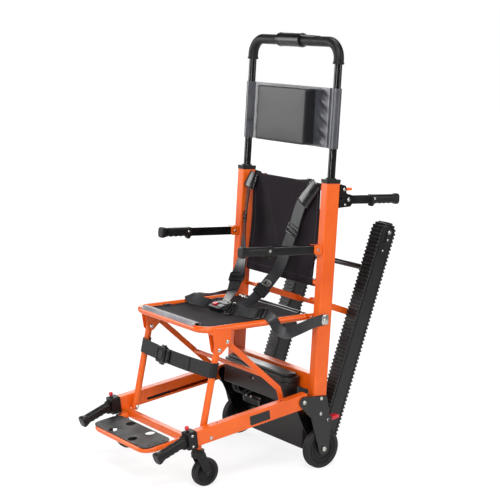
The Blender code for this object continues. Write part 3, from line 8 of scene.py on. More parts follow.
import logging
import math
from contextlib import contextmanager
from dataclasses import dataclass, field
from enum import Enum
from typing import Any, Callable, Iterator, Sequence

import bpy
from mathutils import Matrix, Vector


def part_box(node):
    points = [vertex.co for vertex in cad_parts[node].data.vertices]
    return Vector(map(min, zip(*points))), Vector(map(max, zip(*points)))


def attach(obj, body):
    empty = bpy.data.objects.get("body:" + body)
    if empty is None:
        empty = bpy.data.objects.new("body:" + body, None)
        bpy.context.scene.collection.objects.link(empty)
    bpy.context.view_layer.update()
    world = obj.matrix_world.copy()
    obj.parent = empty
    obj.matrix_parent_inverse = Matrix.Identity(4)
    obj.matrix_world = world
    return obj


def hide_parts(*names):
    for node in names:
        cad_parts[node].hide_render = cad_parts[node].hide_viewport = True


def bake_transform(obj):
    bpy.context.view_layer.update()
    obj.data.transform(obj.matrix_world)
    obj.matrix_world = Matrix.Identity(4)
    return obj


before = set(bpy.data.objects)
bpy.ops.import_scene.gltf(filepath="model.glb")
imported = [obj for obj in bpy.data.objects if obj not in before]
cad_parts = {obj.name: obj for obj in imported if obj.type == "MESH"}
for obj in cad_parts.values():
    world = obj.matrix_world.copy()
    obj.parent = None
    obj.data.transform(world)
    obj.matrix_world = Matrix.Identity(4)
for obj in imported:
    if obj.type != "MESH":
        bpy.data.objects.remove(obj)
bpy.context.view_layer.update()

Flat = Sequence[float]
Point = Sequence[float]
Object = bpy.types.Object
Socket = bpy.types.NodeSocket

LOG = logging.getLogger("evacuation_chair")
SIDES = {"left": 1, "right": -1}
SIGNS = tuple(SIDES.values())
AXLE_Y = sum(corner.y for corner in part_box("rear_wheel_left")) / 2
SMOOTH_ANGLE = math.radians(38)

# Places that several sub-assemblies share: the uprights' place across the chair and along it, the
# distance of a fork's cheeks from its middle, and pins in the side view.
FRAME_X, FRAME_Y = 0.257, -0.03
EAR = 0.0126
ARM_PIVOT: Flat = (-0.079, 0.808)
SEAT_PIVOT: Flat = (-0.060021, 0.558958)
LINK_PIVOT: Flat = (-0.011, 0.605)
RAIL_PIVOT: Flat = (-0.105, 0.258)
SHAFT: Flat = (0.06, 0.11)

# The range of noise that finishes use, the depth of their grain in metres, and the length of a wave
# texture's repeat at scale 1.
NOISE_RANGE = (0.32, 0.68)
RELIEF = 0.0004
WAVE_LENGTH = 0.314159


# Finishes


class Slot(Enum):
    """The record's material slots."""

    ORANGE = "orange_coat"
    BLACK = "black_coat"
    PLASTIC = "black_plastic"
    RUBBER = "rubber"
    WHEEL = "wheel"
    CLOTH = "cloth"
    VINYL = "vinyl"
    WEBBING = "webbing"
    STEEL = "steel"
    STRIP = "strip"
    RED = "red"


def linear(code: str) -> tuple[float, float, float, float]:
    """Turns an sRGB hex colour to linear.

    Args:
        code: The colour as #RRGGBB.

    Returns:
        Red, green, blue and a full alpha.
    """
    parts = [int(code[i:i + 2], 16) / 255 for i in (1, 3, 5)]
    red, green, blue = [p / 12.92 if p <= 0.04045 else ((p + 0.055) / 1.055) ** 2.4 for p in parts]
    return red, green, blue, 1.0


def node(tree: bpy.types.NodeTree, kind: str, settings: dict[str, Any],
         inputs: dict[Any, Any]) -> bpy.types.Node:
    """Adds one shader node.

    Args:
        tree: The material's tree.
        kind: The node's type name, without the leading ShaderNode.
        settings: Attributes of the node.
        inputs: Values or sockets for its inputs, by name or number.

    Returns:
        The node.
    """
    made = tree.nodes.new("ShaderNode" + kind)
    for name, value in settings.items():
        setattr(made, name, value)
    for name, value in inputs.items():
        if isinstance(value, bpy.types.NodeSocket):
            tree.links.new(value, made.inputs[name])
        else:
            made.inputs[name].default_value = value
    return made


@dataclass(frozen=True)
class Finish:
    """A coat or moulded surface: soft patches of tone and a fine grain, both sized in millimetres.

    Attributes:
        name: What the surface is.
        slot: The record's slot; not used.
        dark: Colour in its darker patches.
        light: Colour in its lighter patches.
        roughness: Lowest and highest roughness.
        patch: Size of the patches.
        grain: Size of the grain.
        bump: Strength of the grain.
        specular: How strongly it mirrors.
        fixed: Other values of the shader that are the same all over.
    """

    name: str
    slot: Slot
    dark: str
    light: str
    roughness: Flat
    patch: float = 60.0
    grain: float = 1.2
    bump: float = 0.1
    specular: float = 0.5
    fixed: tuple[tuple[str, float], ...] = ()

    def noise(self, tree: bpy.types.NodeTree, where: Socket, size: float, detail: float) -> Socket:
        """A cloudy pattern from 0 to 1, with patches of a size in millimetres."""
        made = node(tree, "TexNoise", {}, {"Vector": where, "Scale": 1000 / size, "Detail": detail})
        return node(tree, "MapRange", {},
                    {"Value": made.outputs[0], "From Min": NOISE_RANGE[0],
                     "From Max": NOISE_RANGE[1]}).outputs[0]

    def pattern(self, tree: bpy.types.NodeTree) -> tuple[Socket, Socket]:
        """The tone, from 0 (dark) to 1 (light), and the height, from 0 to 1, of the surface."""
        where = node(tree, "TexCoord", {}, {}).outputs["Object"]
        return self.noise(tree, where, self.patch, 3.0), self.noise(tree, where, self.grain, 2.0)

    def material(self) -> bpy.types.Material:
        """Makes the material on its first use.

        Returns:
            The material.
        """
        found = bpy.data.materials.get(self.name)
        if found:
            return found
        made = bpy.data.materials.new(self.name)
        made.use_nodes = True
        tree = made.node_tree
        shader = tree.nodes["Principled BSDF"]
        tone, height = self.pattern(tree)
        colour = node(tree, "Mix", {"data_type": "RGBA"},
                      {0: tone, 6: linear(self.dark), 7: linear(self.light)})
        gloss = node(tree, "MapRange", {},
                     {"Value": tone, "To Min": self.roughness[0], "To Max": self.roughness[1]})
        relief = node(tree, "Bump", {}, {"Strength": self.bump, "Distance": RELIEF, "Height": height})
        tree.links.new(colour.outputs[2], shader.inputs["Base Color"])
        tree.links.new(gloss.outputs[0], shader.inputs["Roughness"])
        tree.links.new(relief.outputs[0], shader.inputs["Normal"])
        for name, value in (("Specular IOR Level", self.specular), *self.fixed):
            shader.inputs[name].default_value = value
        made.diffuse_color = linear(self.light)
        return made


@dataclass(frozen=True)
class Woven(Finish):
    """Cloth with warp and weft, drawn on the piece's own UV map, which is in metres.

    Attributes:
        thread: Distance between threads, in millimetres.
        rib: How much longer the pattern is along the cloth than across it.
    """

    thread: float = 2.4
    rib: float = 1.0

    def pattern(self, tree: bpy.types.NodeTree) -> tuple[Socket, Socket]:
        """The tone and the height of the weave; the tone takes in the height, so the gaps between the
        threads carry painted shade.

        Args:
            tree: The material's tree.

        Returns:
            Tone from 0 to 1, and height from 0 to 1.
        """
        coords = node(tree, "TexCoord", {}, {}).outputs
        scale = WAVE_LENGTH / (self.thread / 1000)
        warp = node(tree, "TexWave", {"bands_direction": "X"},
                    {"Vector": coords["UV"], "Scale": scale * self.rib})
        weft = node(tree, "TexWave", {"bands_direction": "Y"}, {"Vector": coords["UV"], "Scale": scale})
        height = node(tree, "Math", {"operation": "MULTIPLY"},
                      {0: warp.outputs["Fac"], 1: weft.outputs["Fac"]})
        patch = self.noise(tree, coords["Object"], self.patch, 3.0)
        # The threads' height is mixed into the tone: painted shade, darker in the gaps between the
        # threads.
        tone = node(tree, "Mix", {}, {0: 0.35, 2: patch, 3: height.outputs[0]})
        return tone.outputs[0], height.outputs[0]


@dataclass(frozen=True)
class Leathercloth(Finish):
    """Coated cloth with an embossed hide grain."""

    def pattern(self, tree: bpy.types.NodeTree) -> tuple[Socket, Socket]:
        """The tone and the height of the embossed grain.

        Args:
            tree: The material's tree.

        Returns:
            Tone from 0 to 1, and height from 0 to 1.
        """
        where = node(tree, "TexCoord", {}, {}).outputs["Object"]
        cells = node(tree, "TexVoronoi", {"feature": "DISTANCE_TO_EDGE"},
                     {"Vector": where, "Scale": 1000 / self.grain})
        height = node(tree, "MapRange", {},
                      {"Value": cells.outputs["Distance"], "From Max": 0.25}).outputs[0]
        return self.noise(tree, where, self.patch, 4.0), height


@dataclass(frozen=True)
class Brushed(Finish):
    """Plain metal with fine lines from rolling."""

    def pattern(self, tree: bpy.types.NodeTree) -> tuple[Socket, Socket]:
        """The tone and the height of the rolled metal.

        Args:
            tree: The material's tree.

        Returns:
            Tone from 0 to 1, and height from 0 to 1.
        """
        where = node(tree, "TexCoord", {}, {}).outputs["Object"]
        drawn = node(tree, "Mapping", {}, {"Vector": where, "Scale": (0.08, 1.0, 1.0)}).outputs[0]
        return self.noise(tree, drawn, self.patch, 2.0), self.noise(tree, drawn, self.grain, 3.0)


# Powder coat: sprayed and baked, so it is even in colour with a faint orange peel and a satin gleam.
ORANGE = Finish("orange_powder_coat", Slot.ORANGE, "#DA5509", "#E66212", (0.3, 0.38), 160, 1.6, 0.06,
                0.42, (("Coat Weight", 0.08), ("Coat Roughness", 0.2)))
# Black satin coat over aluminium: a narrow bright streak along each tube, and hardly any grain.
BLACK = Finish("black_satin_coat", Slot.BLACK, "#0B0A0A", "#111010", (0.17, 0.23), 90, 1.4, 0.04)
# Glass-filled nylon mouldings: matt, with a spark-eroded grain of about a millimetre.
PLASTIC = Finish("moulded_nylon", Slot.PLASTIC, "#0C0B0B", "#131212", (0.38, 0.5), 45, 0.9, 0.16, 0.32)
# ABS covers: smoother than nylon, with a faint gleam.
COVER = Finish("moulded_abs", Slot.PLASTIC, "#0E0D0E", "#151415", (0.28, 0.36), 80, 0.8, 0.1, 0.45)
# Foam rubber sleeve: closed cells of a millimetre or two, dry and matt.
FOAM = Finish("foam_rubber", Slot.PLASTIC, "#0D0C0E", "#171618", (0.42, 0.54), 30, 1.8, 0.2, 0.28)
# Track rubber: a soft gleam on each rib's edge, greyer where it has rubbed.
RUBBER = Finish("track_rubber", Slot.RUBBER, "#121112", "#1F1E1F", (0.4, 0.54), 25, 1.5, 0.2)
# Wheel tyre: solid rubber, smooth from its mould.
TYRE = Finish("solid_tyre", Slot.WHEEL, "#121112", "#1B1A1B", (0.48, 0.62), 40, 1.2, 0.14, 0.38)
# Polyester cloth: a plain weave; threads of 0.5 mm are drawn at 2.4 mm so that they show.
CLOTH = Woven("polyester_cloth", Slot.CLOTH, "#171216", "#251E24", (0.8, 0.92), 120, 1.0, 0.3, 0.16,
              (("Sheen Weight", 0.04), ("Sheen Roughness", 0.4)), 2.4, 1.0)
# Harness webbing: ribs across the band every 1.2 mm, drawn at 3 mm, with a silky gleam.
WEBBING = Woven("polyester_webbing", Slot.WEBBING, "#111113", "#252529", (0.3, 0.4), 35, 1.0, 0.3, 0.62,
                (("Sheen Weight", 0.06),), 3.0, 0.35)
# Shin strap: a duller nylon webbing.
NYLON = Woven("nylon_webbing", Slot.WEBBING, "#0B0B0C", "#171718", (0.48, 0.62), 35, 1.0, 0.35, 0.3, (),
              3.0, 0.35)
# Leathercloth: PVC on cloth, with an embossed grain of 2 mm and broad grey highlights.
VINYL = Leathercloth("pvc_leathercloth", Slot.VINYL, "#35363B", "#494A51", (0.27, 0.35), 70, 2.0, 0.16,
                     0.85)
# The pad's cover: the same leathercloth with a fine brushed print that runs across.
PAD_COVER = Brushed("printed_leathercloth", Slot.VINYL, "#161619", "#202024", (0.38, 0.42), 2.5, 1.0,
                    0.16, 0.44)
# Buckles and slides: polished nylon, with small sharp glints on their edges.
GLOSS = Finish("polished_nylon", Slot.PLASTIC, "#141415", "#1B1B1C", (0.16, 0.26), 20, 1.0, 0.04)
# Zinc-plated steel: bright, a little cloudy.
STEEL = Brushed("zinc_plated_steel", Slot.STEEL, "#B9B9B5", "#CFCEC9", (0.22, 0.3), 8, 0.6, 0.05,
                fixed=(("Metallic", 1.0),))
# Grey edge strip: extruded PVC.
STRIP = Finish("extruded_pvc", Slot.STRIP, "#77767A", "#929195", (0.45, 0.6), 50, 1.1, 0.15)
# Red nylon, glossy from a polished mould.
RED = Finish("red_nylon", Slot.RED, "#B8101F", "#D3182F", (0.26, 0.36), 12, 0.8, 0.06,
             fixed=(("Coat Weight", 0.2),))
# Stitching thread: twisted polyester, dull.
THREAD = Finish("sewing_thread", Slot.CLOTH, "#4A464A", "#5E5A5E", (0.7, 0.85), 4, 0.4, 0.3)


# Outlines


def arc(centre: Flat, radius: float, start: float, end: float, steps: int) -> list[Flat]:
    """Points along a circle between two angles in degrees, with both ends."""
    turns = [math.radians(start + (end - start) * i / steps) for i in range(steps + 1)]
    return [(centre[0] + radius * math.cos(a), centre[1] + radius * math.sin(a)) for a in turns]


def circle(radius: float, centre: Flat = (0.0, 0.0), sides: int = 28) -> list[Flat]:
    """A round outline."""
    return arc(centre, radius, 0, 360, sides)[:-1]


def rounded(width: float, height: float, radius: float, centre: Flat = (0.0, 0.0),
            steps: int = 5) -> list[Flat]:
    """A rectangle with round corners.

    Args:
        width: Its width.
        height: Its height.
        radius: Radius of its corners.
        centre: Its middle.
        steps: Steps of each corner.

    Returns:
        Its points.
    """
    x, y = width / 2 - radius, height / 2 - radius
    corners = (((x, y), 0), ((-x, y), 90), ((-x, -y), 180), ((x, -y), 270))
    return [(centre[0] + u, centre[1] + v) for c, a in corners
            for u, v in arc(c, radius, a, a + 90, steps)]


def lug(base: Flat, tip: Flat, half: float) -> list[Flat]:
    """A tab that is square at its base and round at its tip.

    Args:
        base: Middle of its square end.
        tip: Middle of its round end.
        half: Half its width.

    Returns:
        Its points.
    """
    along = (Vector(tip) - Vector(base)).normalized()
    side = Vector((-along.y, along.x)) * half
    turn = math.degrees(math.atan2(along.y, along.x))
    first, last = tuple(Vector(base) - side), tuple(Vector(base) + side)
    return [first, *arc(tip, half, turn - 90, turn + 90, 14), last]


def strip_outline(points: Sequence[Flat], half: float) -> list[Flat]:
    """A bar of even width along a bent line, with round ends.

    Args:
        points: The bar's middle line.
        half: Half its width.

    Returns:
        Its points.
    """
    line = [Vector(p) for p in points]
    left, right = [], []
    for before, here, after in zip(line, line[1:], line[2:]):
        u, v = (here - before).normalized(), (after - here).normalized()
        tangent = (u + v).normalized()
        normal = Vector((-tangent.y, tangent.x))
        out = normal * (half / normal.dot(Vector((-v.y, v.x))))
        left.append(tuple(here + out))
        right.append(tuple(here - out))
    first = math.degrees(math.atan2(*(line[1] - line[0]).yx))
    last = math.degrees(math.atan2(*(line[-1] - line[-2]).yx))
    return (arc(line[0], half, first + 90, first + 270, 12) + right
            + arc(line[-1], half, last - 90, last + 90, 12) + left[::-1])


def hull(rounds: Sequence[Point]) -> list[Flat]:
    """The tight outline round some circles.

    Args:
        rounds: Each circle's two coordinates and radius.

    Returns:
        Its points.
    """
    points = sorted(tuple(p) for u, v, r in rounds for p in circle(r, (u, v), 32))
    chain: list[Flat] = []
    for ordered in (points, points[::-1]):
        base = len(chain)
        for p in ordered:
            while len(chain) - base >= 2:
                a, b = chain[-2], chain[-1]
                if (b[0] - a[0]) * (p[1] - a[1]) - (b[1] - a[1]) * (p[0] - a[0]) > 1e-12:
                    break
                chain.pop()
            chain.append(p)
        chain.pop()
    return chain


def fillet(points: Sequence[Point], radius: float, steps: int = 12) -> list[Vector]:
    """A bent tube's middle line.

    Args:
        points: The corners.
        radius: Radius of each bend.
        steps: Steps of each bend.

    Returns:
        The line's points.
    """
    line = [Vector(p) for p in points]
    out = [line[0]]
    for before, here, after in zip(line, line[1:], line[2:]):
        u, v = (before - here).normalized(), (after - here).normalized()
        half = u.angle(v) / 2
        centre = here + (u + v).normalized() * (radius / math.sin(half))
        a = here + u * (radius / math.tan(half)) - centre
        b = here + v * (radius / math.tan(half)) - centre
        full = a.angle(b)
        for t in (i / steps for i in range(steps + 1)):
            spoke = a * math.sin((1 - t) * full) + b * math.sin(t * full)
            out.append(centre + spoke / math.sin(full))
    return out + [line[-1]]


def smooth(points: Sequence[Point], steps: int) -> list[Vector]:
    """A soft curve through some points.

    Args:
        points: The points.
        steps: Steps between two of them.

    Returns:
        The curve's points.
    """
    line = [Vector(p) for p in points]
    out = []
    for i in range(len(line) - 1):
        before, after = line[max(i - 1, 0)], line[min(i + 2, len(line) - 1)]
        here, there = line[i], line[i + 1]
        for t in (k / steps for k in range(steps)):
            out.append(here + (there - before) * (0.5 * t)
                       + (before * 2 - here * 5 + there * 4 - after) * (0.5 * t * t)
                       + (here * 3 - before - there * 3 + after) * (0.5 * t ** 3))
    return out + [line[-1]]


# Places


def swung(origin: Flat, angle: float, along: float, above: float) -> Flat:
    """A point of a flat drawing that is turned about its origin."""
    cos, sin = math.cos(angle), math.sin(angle)
    return (origin[0] + along * cos - above * sin, origin[1] + along * sin + above * cos)


def axes(x_axis: Point, y_axis: Point, origin: Point) -> Matrix:
    """The place of a flat drawing.

    Args:
        x_axis: Where its first coordinate points.
        y_axis: Where its second coordinate points.
        origin: Where its zero is.

    Returns:
        The matrix.
    """
    x, y = Vector(x_axis).normalized(), Vector(y_axis).normalized()
    matrix = Matrix((x, y, x.cross(y))).transposed().to_4x4()
    matrix.translation = Vector(origin)
    return matrix


def side(x: float) -> Matrix:
    """The side view's plane, drawn as (y, z), at one distance across the chair."""
    return axes((0, 1, 0), (0, 0, 1), (x, 0, 0))


def plan(x: float, y: float, z: float) -> Matrix:
    """The top view's plane, drawn as (x, y), at one height."""
    return Matrix.Translation((x, y, z))


def aim(point: Point, direction: Point) -> Matrix:
    """The place of a turned piece: where its zero is, and where its axis points."""
    turn = Vector((0, 0, 1)).rotation_difference(Vector(direction)).to_matrix().to_4x4()
    return Matrix.Translation(Vector(point)) @ turn


# Modelling


def only(obj: Object) -> None:
    """Selects one object and nothing else.

    Args:
        obj: The object.
    """
    bpy.ops.object.select_all(action="DESELECT")
    obj.select_set(True)
    bpy.context.view_layer.objects.active = obj


@contextmanager
def editing(obj: Object, kind: str = "VERT") -> Iterator[None]:
    """Edit mode on one object, with all of it selected.

    Args:
        obj: The object.
        kind: VERT, EDGE or FACE.

    Yields:
        Nothing.
    """
    only(obj)
    bpy.ops.object.mode_set(mode="EDIT")
    bpy.ops.mesh.select_mode(type=kind)
    bpy.ops.mesh.select_all(action="SELECT")
    yield
    bpy.ops.object.mode_set(mode="OBJECT")


def pick(obj: Object, test: Callable[[bpy.types.MeshPolygon], bool]) -> None:
    """Selects some faces of the object that is in edit mode.

    Args:
        obj: The object.
        test: Says which faces.
    """
    bpy.ops.mesh.select_mode(type="FACE")
    bpy.ops.mesh.select_all(action="DESELECT")
    bpy.ops.object.mode_set(mode="OBJECT")
    for face in obj.data.polygons:
        face.select = test(face)
    bpy.ops.object.mode_set(mode="EDIT")


def added(add: Callable[..., Any], **settings: Any) -> Object:
    """Runs an operator that adds an object, with nothing else selected.

    Args:
        add: The operator.
        **settings: Its settings.

    Returns:
        The new object.
    """
    bpy.ops.object.select_all(action="DESELECT")
    add(**settings)
    return bpy.context.object


def face_out() -> None:
    """Turns all faces of the object in edit mode outwards."""
    bpy.ops.mesh.select_all(action="SELECT")
    bpy.ops.mesh.normals_make_consistent(inside=False)


def modify(obj: Object, kind: str, **settings: Any) -> Object:
    """Adds a modifier and applies it.

    Args:
        obj: The object.
        kind: The modifier's type.
        **settings: Its settings.

    Returns:
        The object.
    """
    only(obj)
    bpy.ops.object.modifier_add(type=kind)
    modifier = obj.modifiers[-1]
    for name, value in settings.items():
        setattr(modifier, name, value)
    bpy.ops.object.modifier_apply(modifier=modifier.name)
    return obj


def soften(obj: Object, width: float, segments: int = 2, angle: float = 40.0) -> Object:
    """Rounds the edges that are sharper than an angle in degrees."""
    return modify(obj, "BEVEL", width=width, segments=segments, limit_method="ANGLE",
                  angle_limit=math.radians(angle))


def cut(obj: Object, *cutters: Object) -> Object:
    """Cuts other objects out of one, and removes them.

    Args:
        obj: The object.
        *cutters: What is cut out.

    Returns:
        The object.
    """
    for cutter in cutters:
        modify(obj, "BOOLEAN", operation="DIFFERENCE", solver="EXACT", object=cutter)
        bpy.data.objects.remove(cutter)
    return obj


def join(*objs: Object) -> Object:
    """Joins objects into the first.

    Args:
        *objs: The objects.

    Returns:
        The first one.
    """
    only(objs[0])
    for obj in objs[1:]:
        obj.select_set(True)
    if len(objs) > 1:
        bpy.ops.object.join()
    return objs[0]


def plate(outline: Sequence[Flat], thickness: float, place: Matrix, edge: float = 0.0,
          holes: Sequence[Sequence[Flat]] = (), segments: int = 2) -> Object:
    """A plate: a disc drawn to an outline, extruded, drilled and rounded.

    Args:
        outline: Its outline.
        thickness: Its thickness, half to each side of the drawing.
        place: The drawing's place.
        edge: Rounding of its edges.
        holes: Outlines of its holes.
        segments: Steps of the rounding.

    Returns:
        The plate.
    """
    obj = added(bpy.ops.mesh.primitive_circle_add, vertices=len(outline), fill_type="NGON")
    for vertex, (u, v) in zip(obj.data.vertices, outline):
        vertex.co = (u, v, -thickness / 2)
    with editing(obj, "FACE"):
        bpy.ops.mesh.extrude_region_move(TRANSFORM_OT_translate={"value": (0, 0, thickness)})
        face_out()
    cut(obj, *[plate(hole, 4 * thickness, Matrix()) for hole in holes])
    if edge:
        soften(obj, edge, segments)
    obj.data.transform(place)
    return obj


def turned(profile: Sequence[Flat], place: Matrix, steps: int = 40) -> Object:
    """A lathe-turned piece, spun from a closed profile.

    Args:
        profile: Points of (radius, height along the axis).
        place: The axis' place.
        steps: Steps round the axis.

    Returns:
        The piece.
    """
    obj = added(bpy.ops.mesh.primitive_circle_add, vertices=len(profile), fill_type="NOTHING")
    for vertex, (r, h) in zip(obj.data.vertices, profile):
        vertex.co = (r, 0, h)
    with editing(obj):
        bpy.ops.mesh.spin(steps=steps, angle=2 * math.pi, center=(0, 0, 0), axis=(0, 0, 1))
        bpy.ops.mesh.select_all(action="SELECT")
        bpy.ops.mesh.remove_doubles(threshold=1e-5)
        bpy.ops.mesh.dissolve_degenerate(threshold=1e-6)
        face_out()
    obj.data.transform(place)
    return obj


def mirrored(half: Sequence[Flat]) -> list[Flat]:
    """A turned piece's profile from its upper half."""
    return [(r, -h) for r, h in half] + list(half)[::-1]


def rod(start: Point, end: Point, radius: float, sides: int = 24, edge: float = 0.0006) -> Object:
    """A round bar with chamfered ends.

    Args:
        start: Middle of one end.
        end: Middle of the other end.
        radius: Its radius.
        sides: Its steps round.
        edge: The chamfer.

    Returns:
        The bar.
    """
    start, end = Vector(start), Vector(end)
    length = (end - start).length
    return turned([(0, 0), (radius - edge, 0), (radius, edge), (radius, length - edge),
                   (radius - edge, length), (0, length)], aim(start, end - start), sides)


def across(x_from: float, x_to: float, at: Flat, radius: float, sides: int = 24) -> Object:
    """A round bar across the chair, at one place of the side view."""
    return rod((min(x_from, x_to), *at), (max(x_from, x_to), *at), radius, sides)


def block(size: Point, centre: Point, edge: float, turn: float = 0.0, segments: int = 2) -> Object:
    """A block with rounded edges.

    Args:
        size: Its size.
        centre: Its middle.
        edge: Rounding of its edges.
        turn: Its turn about X.
        segments: Steps of the rounding.

    Returns:
        The block.
    """
    obj = added(bpy.ops.mesh.primitive_cube_add, size=1.0)
    obj.data.transform(Matrix.Diagonal((*size, 1.0)))
    with editing(obj, "EDGE"):
        bpy.ops.mesh.bevel(offset=edge, segments=segments, affect="EDGES")
    obj.data.transform(Matrix.Translation(centre) @ Matrix.Rotation(turn, 4, "X"))
    return obj


def tube(points: Sequence[Point], radius: float, sides: int = 24, swell: Sequence[float] | None = None,
         closed: bool = False) -> Object:
    """A bent tube along a line.

    Args:
        points: Its middle line.
        radius: Its radius.
        sides: Its steps round.
        swell: Scale of the radius at each point.
        closed: Whether it is a ring.

    Returns:
        The tube.
    """
    obj = added(bpy.ops.curve.primitive_nurbs_path_add)
    curve = obj.data
    curve.splines.clear()
    curve.bevel_depth = radius
    curve.bevel_resolution = (sides - 4) // 2
    curve.use_fill_caps = not closed
    spline = curve.splines.new("POLY")
    spline.points.add(len(points) - 1)
    spline.use_cyclic_u = closed
    for i, (point, place) in enumerate(zip(spline.points, points)):
        point.co = (*place, 1.0)
        point.radius = swell[i] if swell else 1.0
    only(obj)
    bpy.ops.object.convert(target="MESH")
    obj = bpy.context.object
    with editing(obj):
        bpy.ops.mesh.remove_doubles(threshold=1e-6)
        face_out()
    return obj


def sheet(rows: Sequence[Sequence[Point]], thickness: float) -> Object:
    """A sheet through rows of points, with a UV map in metres.

    Args:
        rows: The rows, all of one length.
        thickness: Its thickness, half to each side.

    Returns:
        The sheet.
    """
    count = len(rows[0])
    obj = added(bpy.ops.mesh.primitive_grid_add, x_subdivisions=count - 1, y_subdivisions=len(rows) - 1,
                calc_uvs=True)
    for vertex, point in zip(obj.data.vertices, (p for row in rows for p in row)):
        vertex.co = point
    middle, spine = rows[len(rows) // 2], [row[count // 2] for row in rows]
    width, length = (sum((Vector(b) - Vector(a)).length for a, b in zip(line, line[1:]))
                     for line in (middle, spine))
    for spot in obj.data.uv_layers[0].data:
        spot.uv = (spot.uv[0] * width, spot.uv[1] * length)
    return modify(obj, "SOLIDIFY", thickness=thickness, offset=0.0)


@dataclass
class Route:
    """A strap's way: its middle line, the way its face looks, and its width at some points."""

    points: Sequence[Point]
    looks: Sequence[Point]
    widths: Sequence[float]
    steps: int = 8

    def lines(self) -> tuple[list[Vector], list[Vector]]:
        """The strap's middle line as a soft curve, and the way its face looks along it."""
        return smooth(self.points, self.steps), smooth(self.looks, self.steps)

    def rows(self, columns: int = 5) -> list[list[Vector]]:
        """Rows of points across the strap.

        Args:
            columns: Points in a row.

        Returns:
            The rows.
        """
        line, looks = self.lines()
        spans = smooth([(w, 0, 0) for w in self.widths], self.steps)
        out = []
        for i, here in enumerate(line):
            along = line[min(i + 1, len(line) - 1)] - line[max(i - 1, 0)]
            step = looks[i].cross(along).normalized() * spans[i].x
            out.append([here + step * (k / (columns - 1) - 0.5) for k in range(columns)])
        return out

    def spot(self, share: float, lift: float = 0.0) -> Matrix:
        """A place on the strap: x across it, y along it, z out of it.

        Args:
            share: How far along, from 0 to 1.
            lift: How far out.

        Returns:
            The matrix.
        """
        line, looks = self.lines()
        i = min(max(round(share * (len(line) - 1)), 1), len(line) - 2)
        along = (line[i + 1] - line[i - 1]).normalized()
        wide = looks[i].cross(along).normalized()
        out = wide.cross(along)
        if out.dot(looks[i]) < 0:
            wide, out = -wide, -out
        return axes(wide, along, line[i] + out * lift)


def grip_body(length: float, height: float, width: float, flare: float, hook: float, x: float,
              place: Callable[[float, float], Flat]) -> Object:
    """A moulded grip: squared, waved under the fingers, flared at its end, with a hook at its root.

    Args:
        length: Its length.
        height: Its height.
        width: Its width.
        flare: How far its end stands out.
        hook: How far the hook hangs.
        x: Its place across the chair.
        place: Gives the side view's point for a distance along and above.

    Returns:
        The grip.
    """
    r = height / 2
    ends = [(0.0, 0.9), (0.002, 0.98), (0.006, 1.0)]
    ends += [(0.02 + (length - 0.044) * i / 44, 1.0) for i in range(45)]
    ends += [(length - 0.018, 1.0 + 0.35 * flare / r), (length - 0.01, 1.0 + flare / r),
             (length - 0.004, 1.0 + flare / r), (length - 0.001, 0.92 + flare / r),
             (length, 0.8 + flare / r)]
    grip = tube([(a, 0, 0) for a, _ in ends], r, 32, [s for _, s in ends])
    for vertex in grip.data.vertices:
        a, b, c = vertex.co
        size = math.hypot(b, c)
        if size > 1e-6:
            u, v = b / size, c / size
            square = size / (abs(u) ** 3.4 + abs(v) ** 3.4) ** (1 / 3.4)
            b, c = u * square * width / height, v * square
            run = (a - 0.024) / (length - 0.046)
            if 0 < run < 1 and v < 0:
                c += 0.0034 * math.sin(4 * math.pi * run) ** 2 * v * v
        vertex.co = (x + b, *place(a, c))
    catch = plate([place(a, c)
                   for a, c in ((0.002, -r + 0.006), (0.003, -r - 0.6 * hook), (0.006, -r - hook),
                                (0.013, -r - hook), (0.017, -r - 0.7 * hook), (0.024, -r + 0.006))],
                  0.62 * width, side(x), 0.0026, (), 3)
    return join(grip, catch)


def wheel_core(axis: Matrix, bore: float, rim: float, half: float) -> Object:
    """A moulded wheel core: hub, dished face with a ring groove, and rim.

    Args:
        axis: The axle's place.
        bore: Radius of its bore.
        rim: Outer radius.
        half: Half its width.

    Returns:
        The core.
    """
    hub, lip, ring = bore + 0.24 * (rim - bore), rim - 0.1 * (rim - bore), bore + 0.66 * (rim - bore)
    face = [(bore, half), (hub - 0.001, half), (hub, half - 0.001), (hub + 0.002, half - 0.0035),
            (ring - 0.0016, half - 0.0045), (ring - 0.001, half - 0.0065),
            (ring + 0.001, half - 0.0065), (ring + 0.0016, half - 0.004), (lip, half - 0.002),
            (lip + 0.0008, half - 0.0036), (rim - 0.0006, half - 0.0036), (rim, half - 0.0016)]
    return turned(mirrored(face), axis, 56)


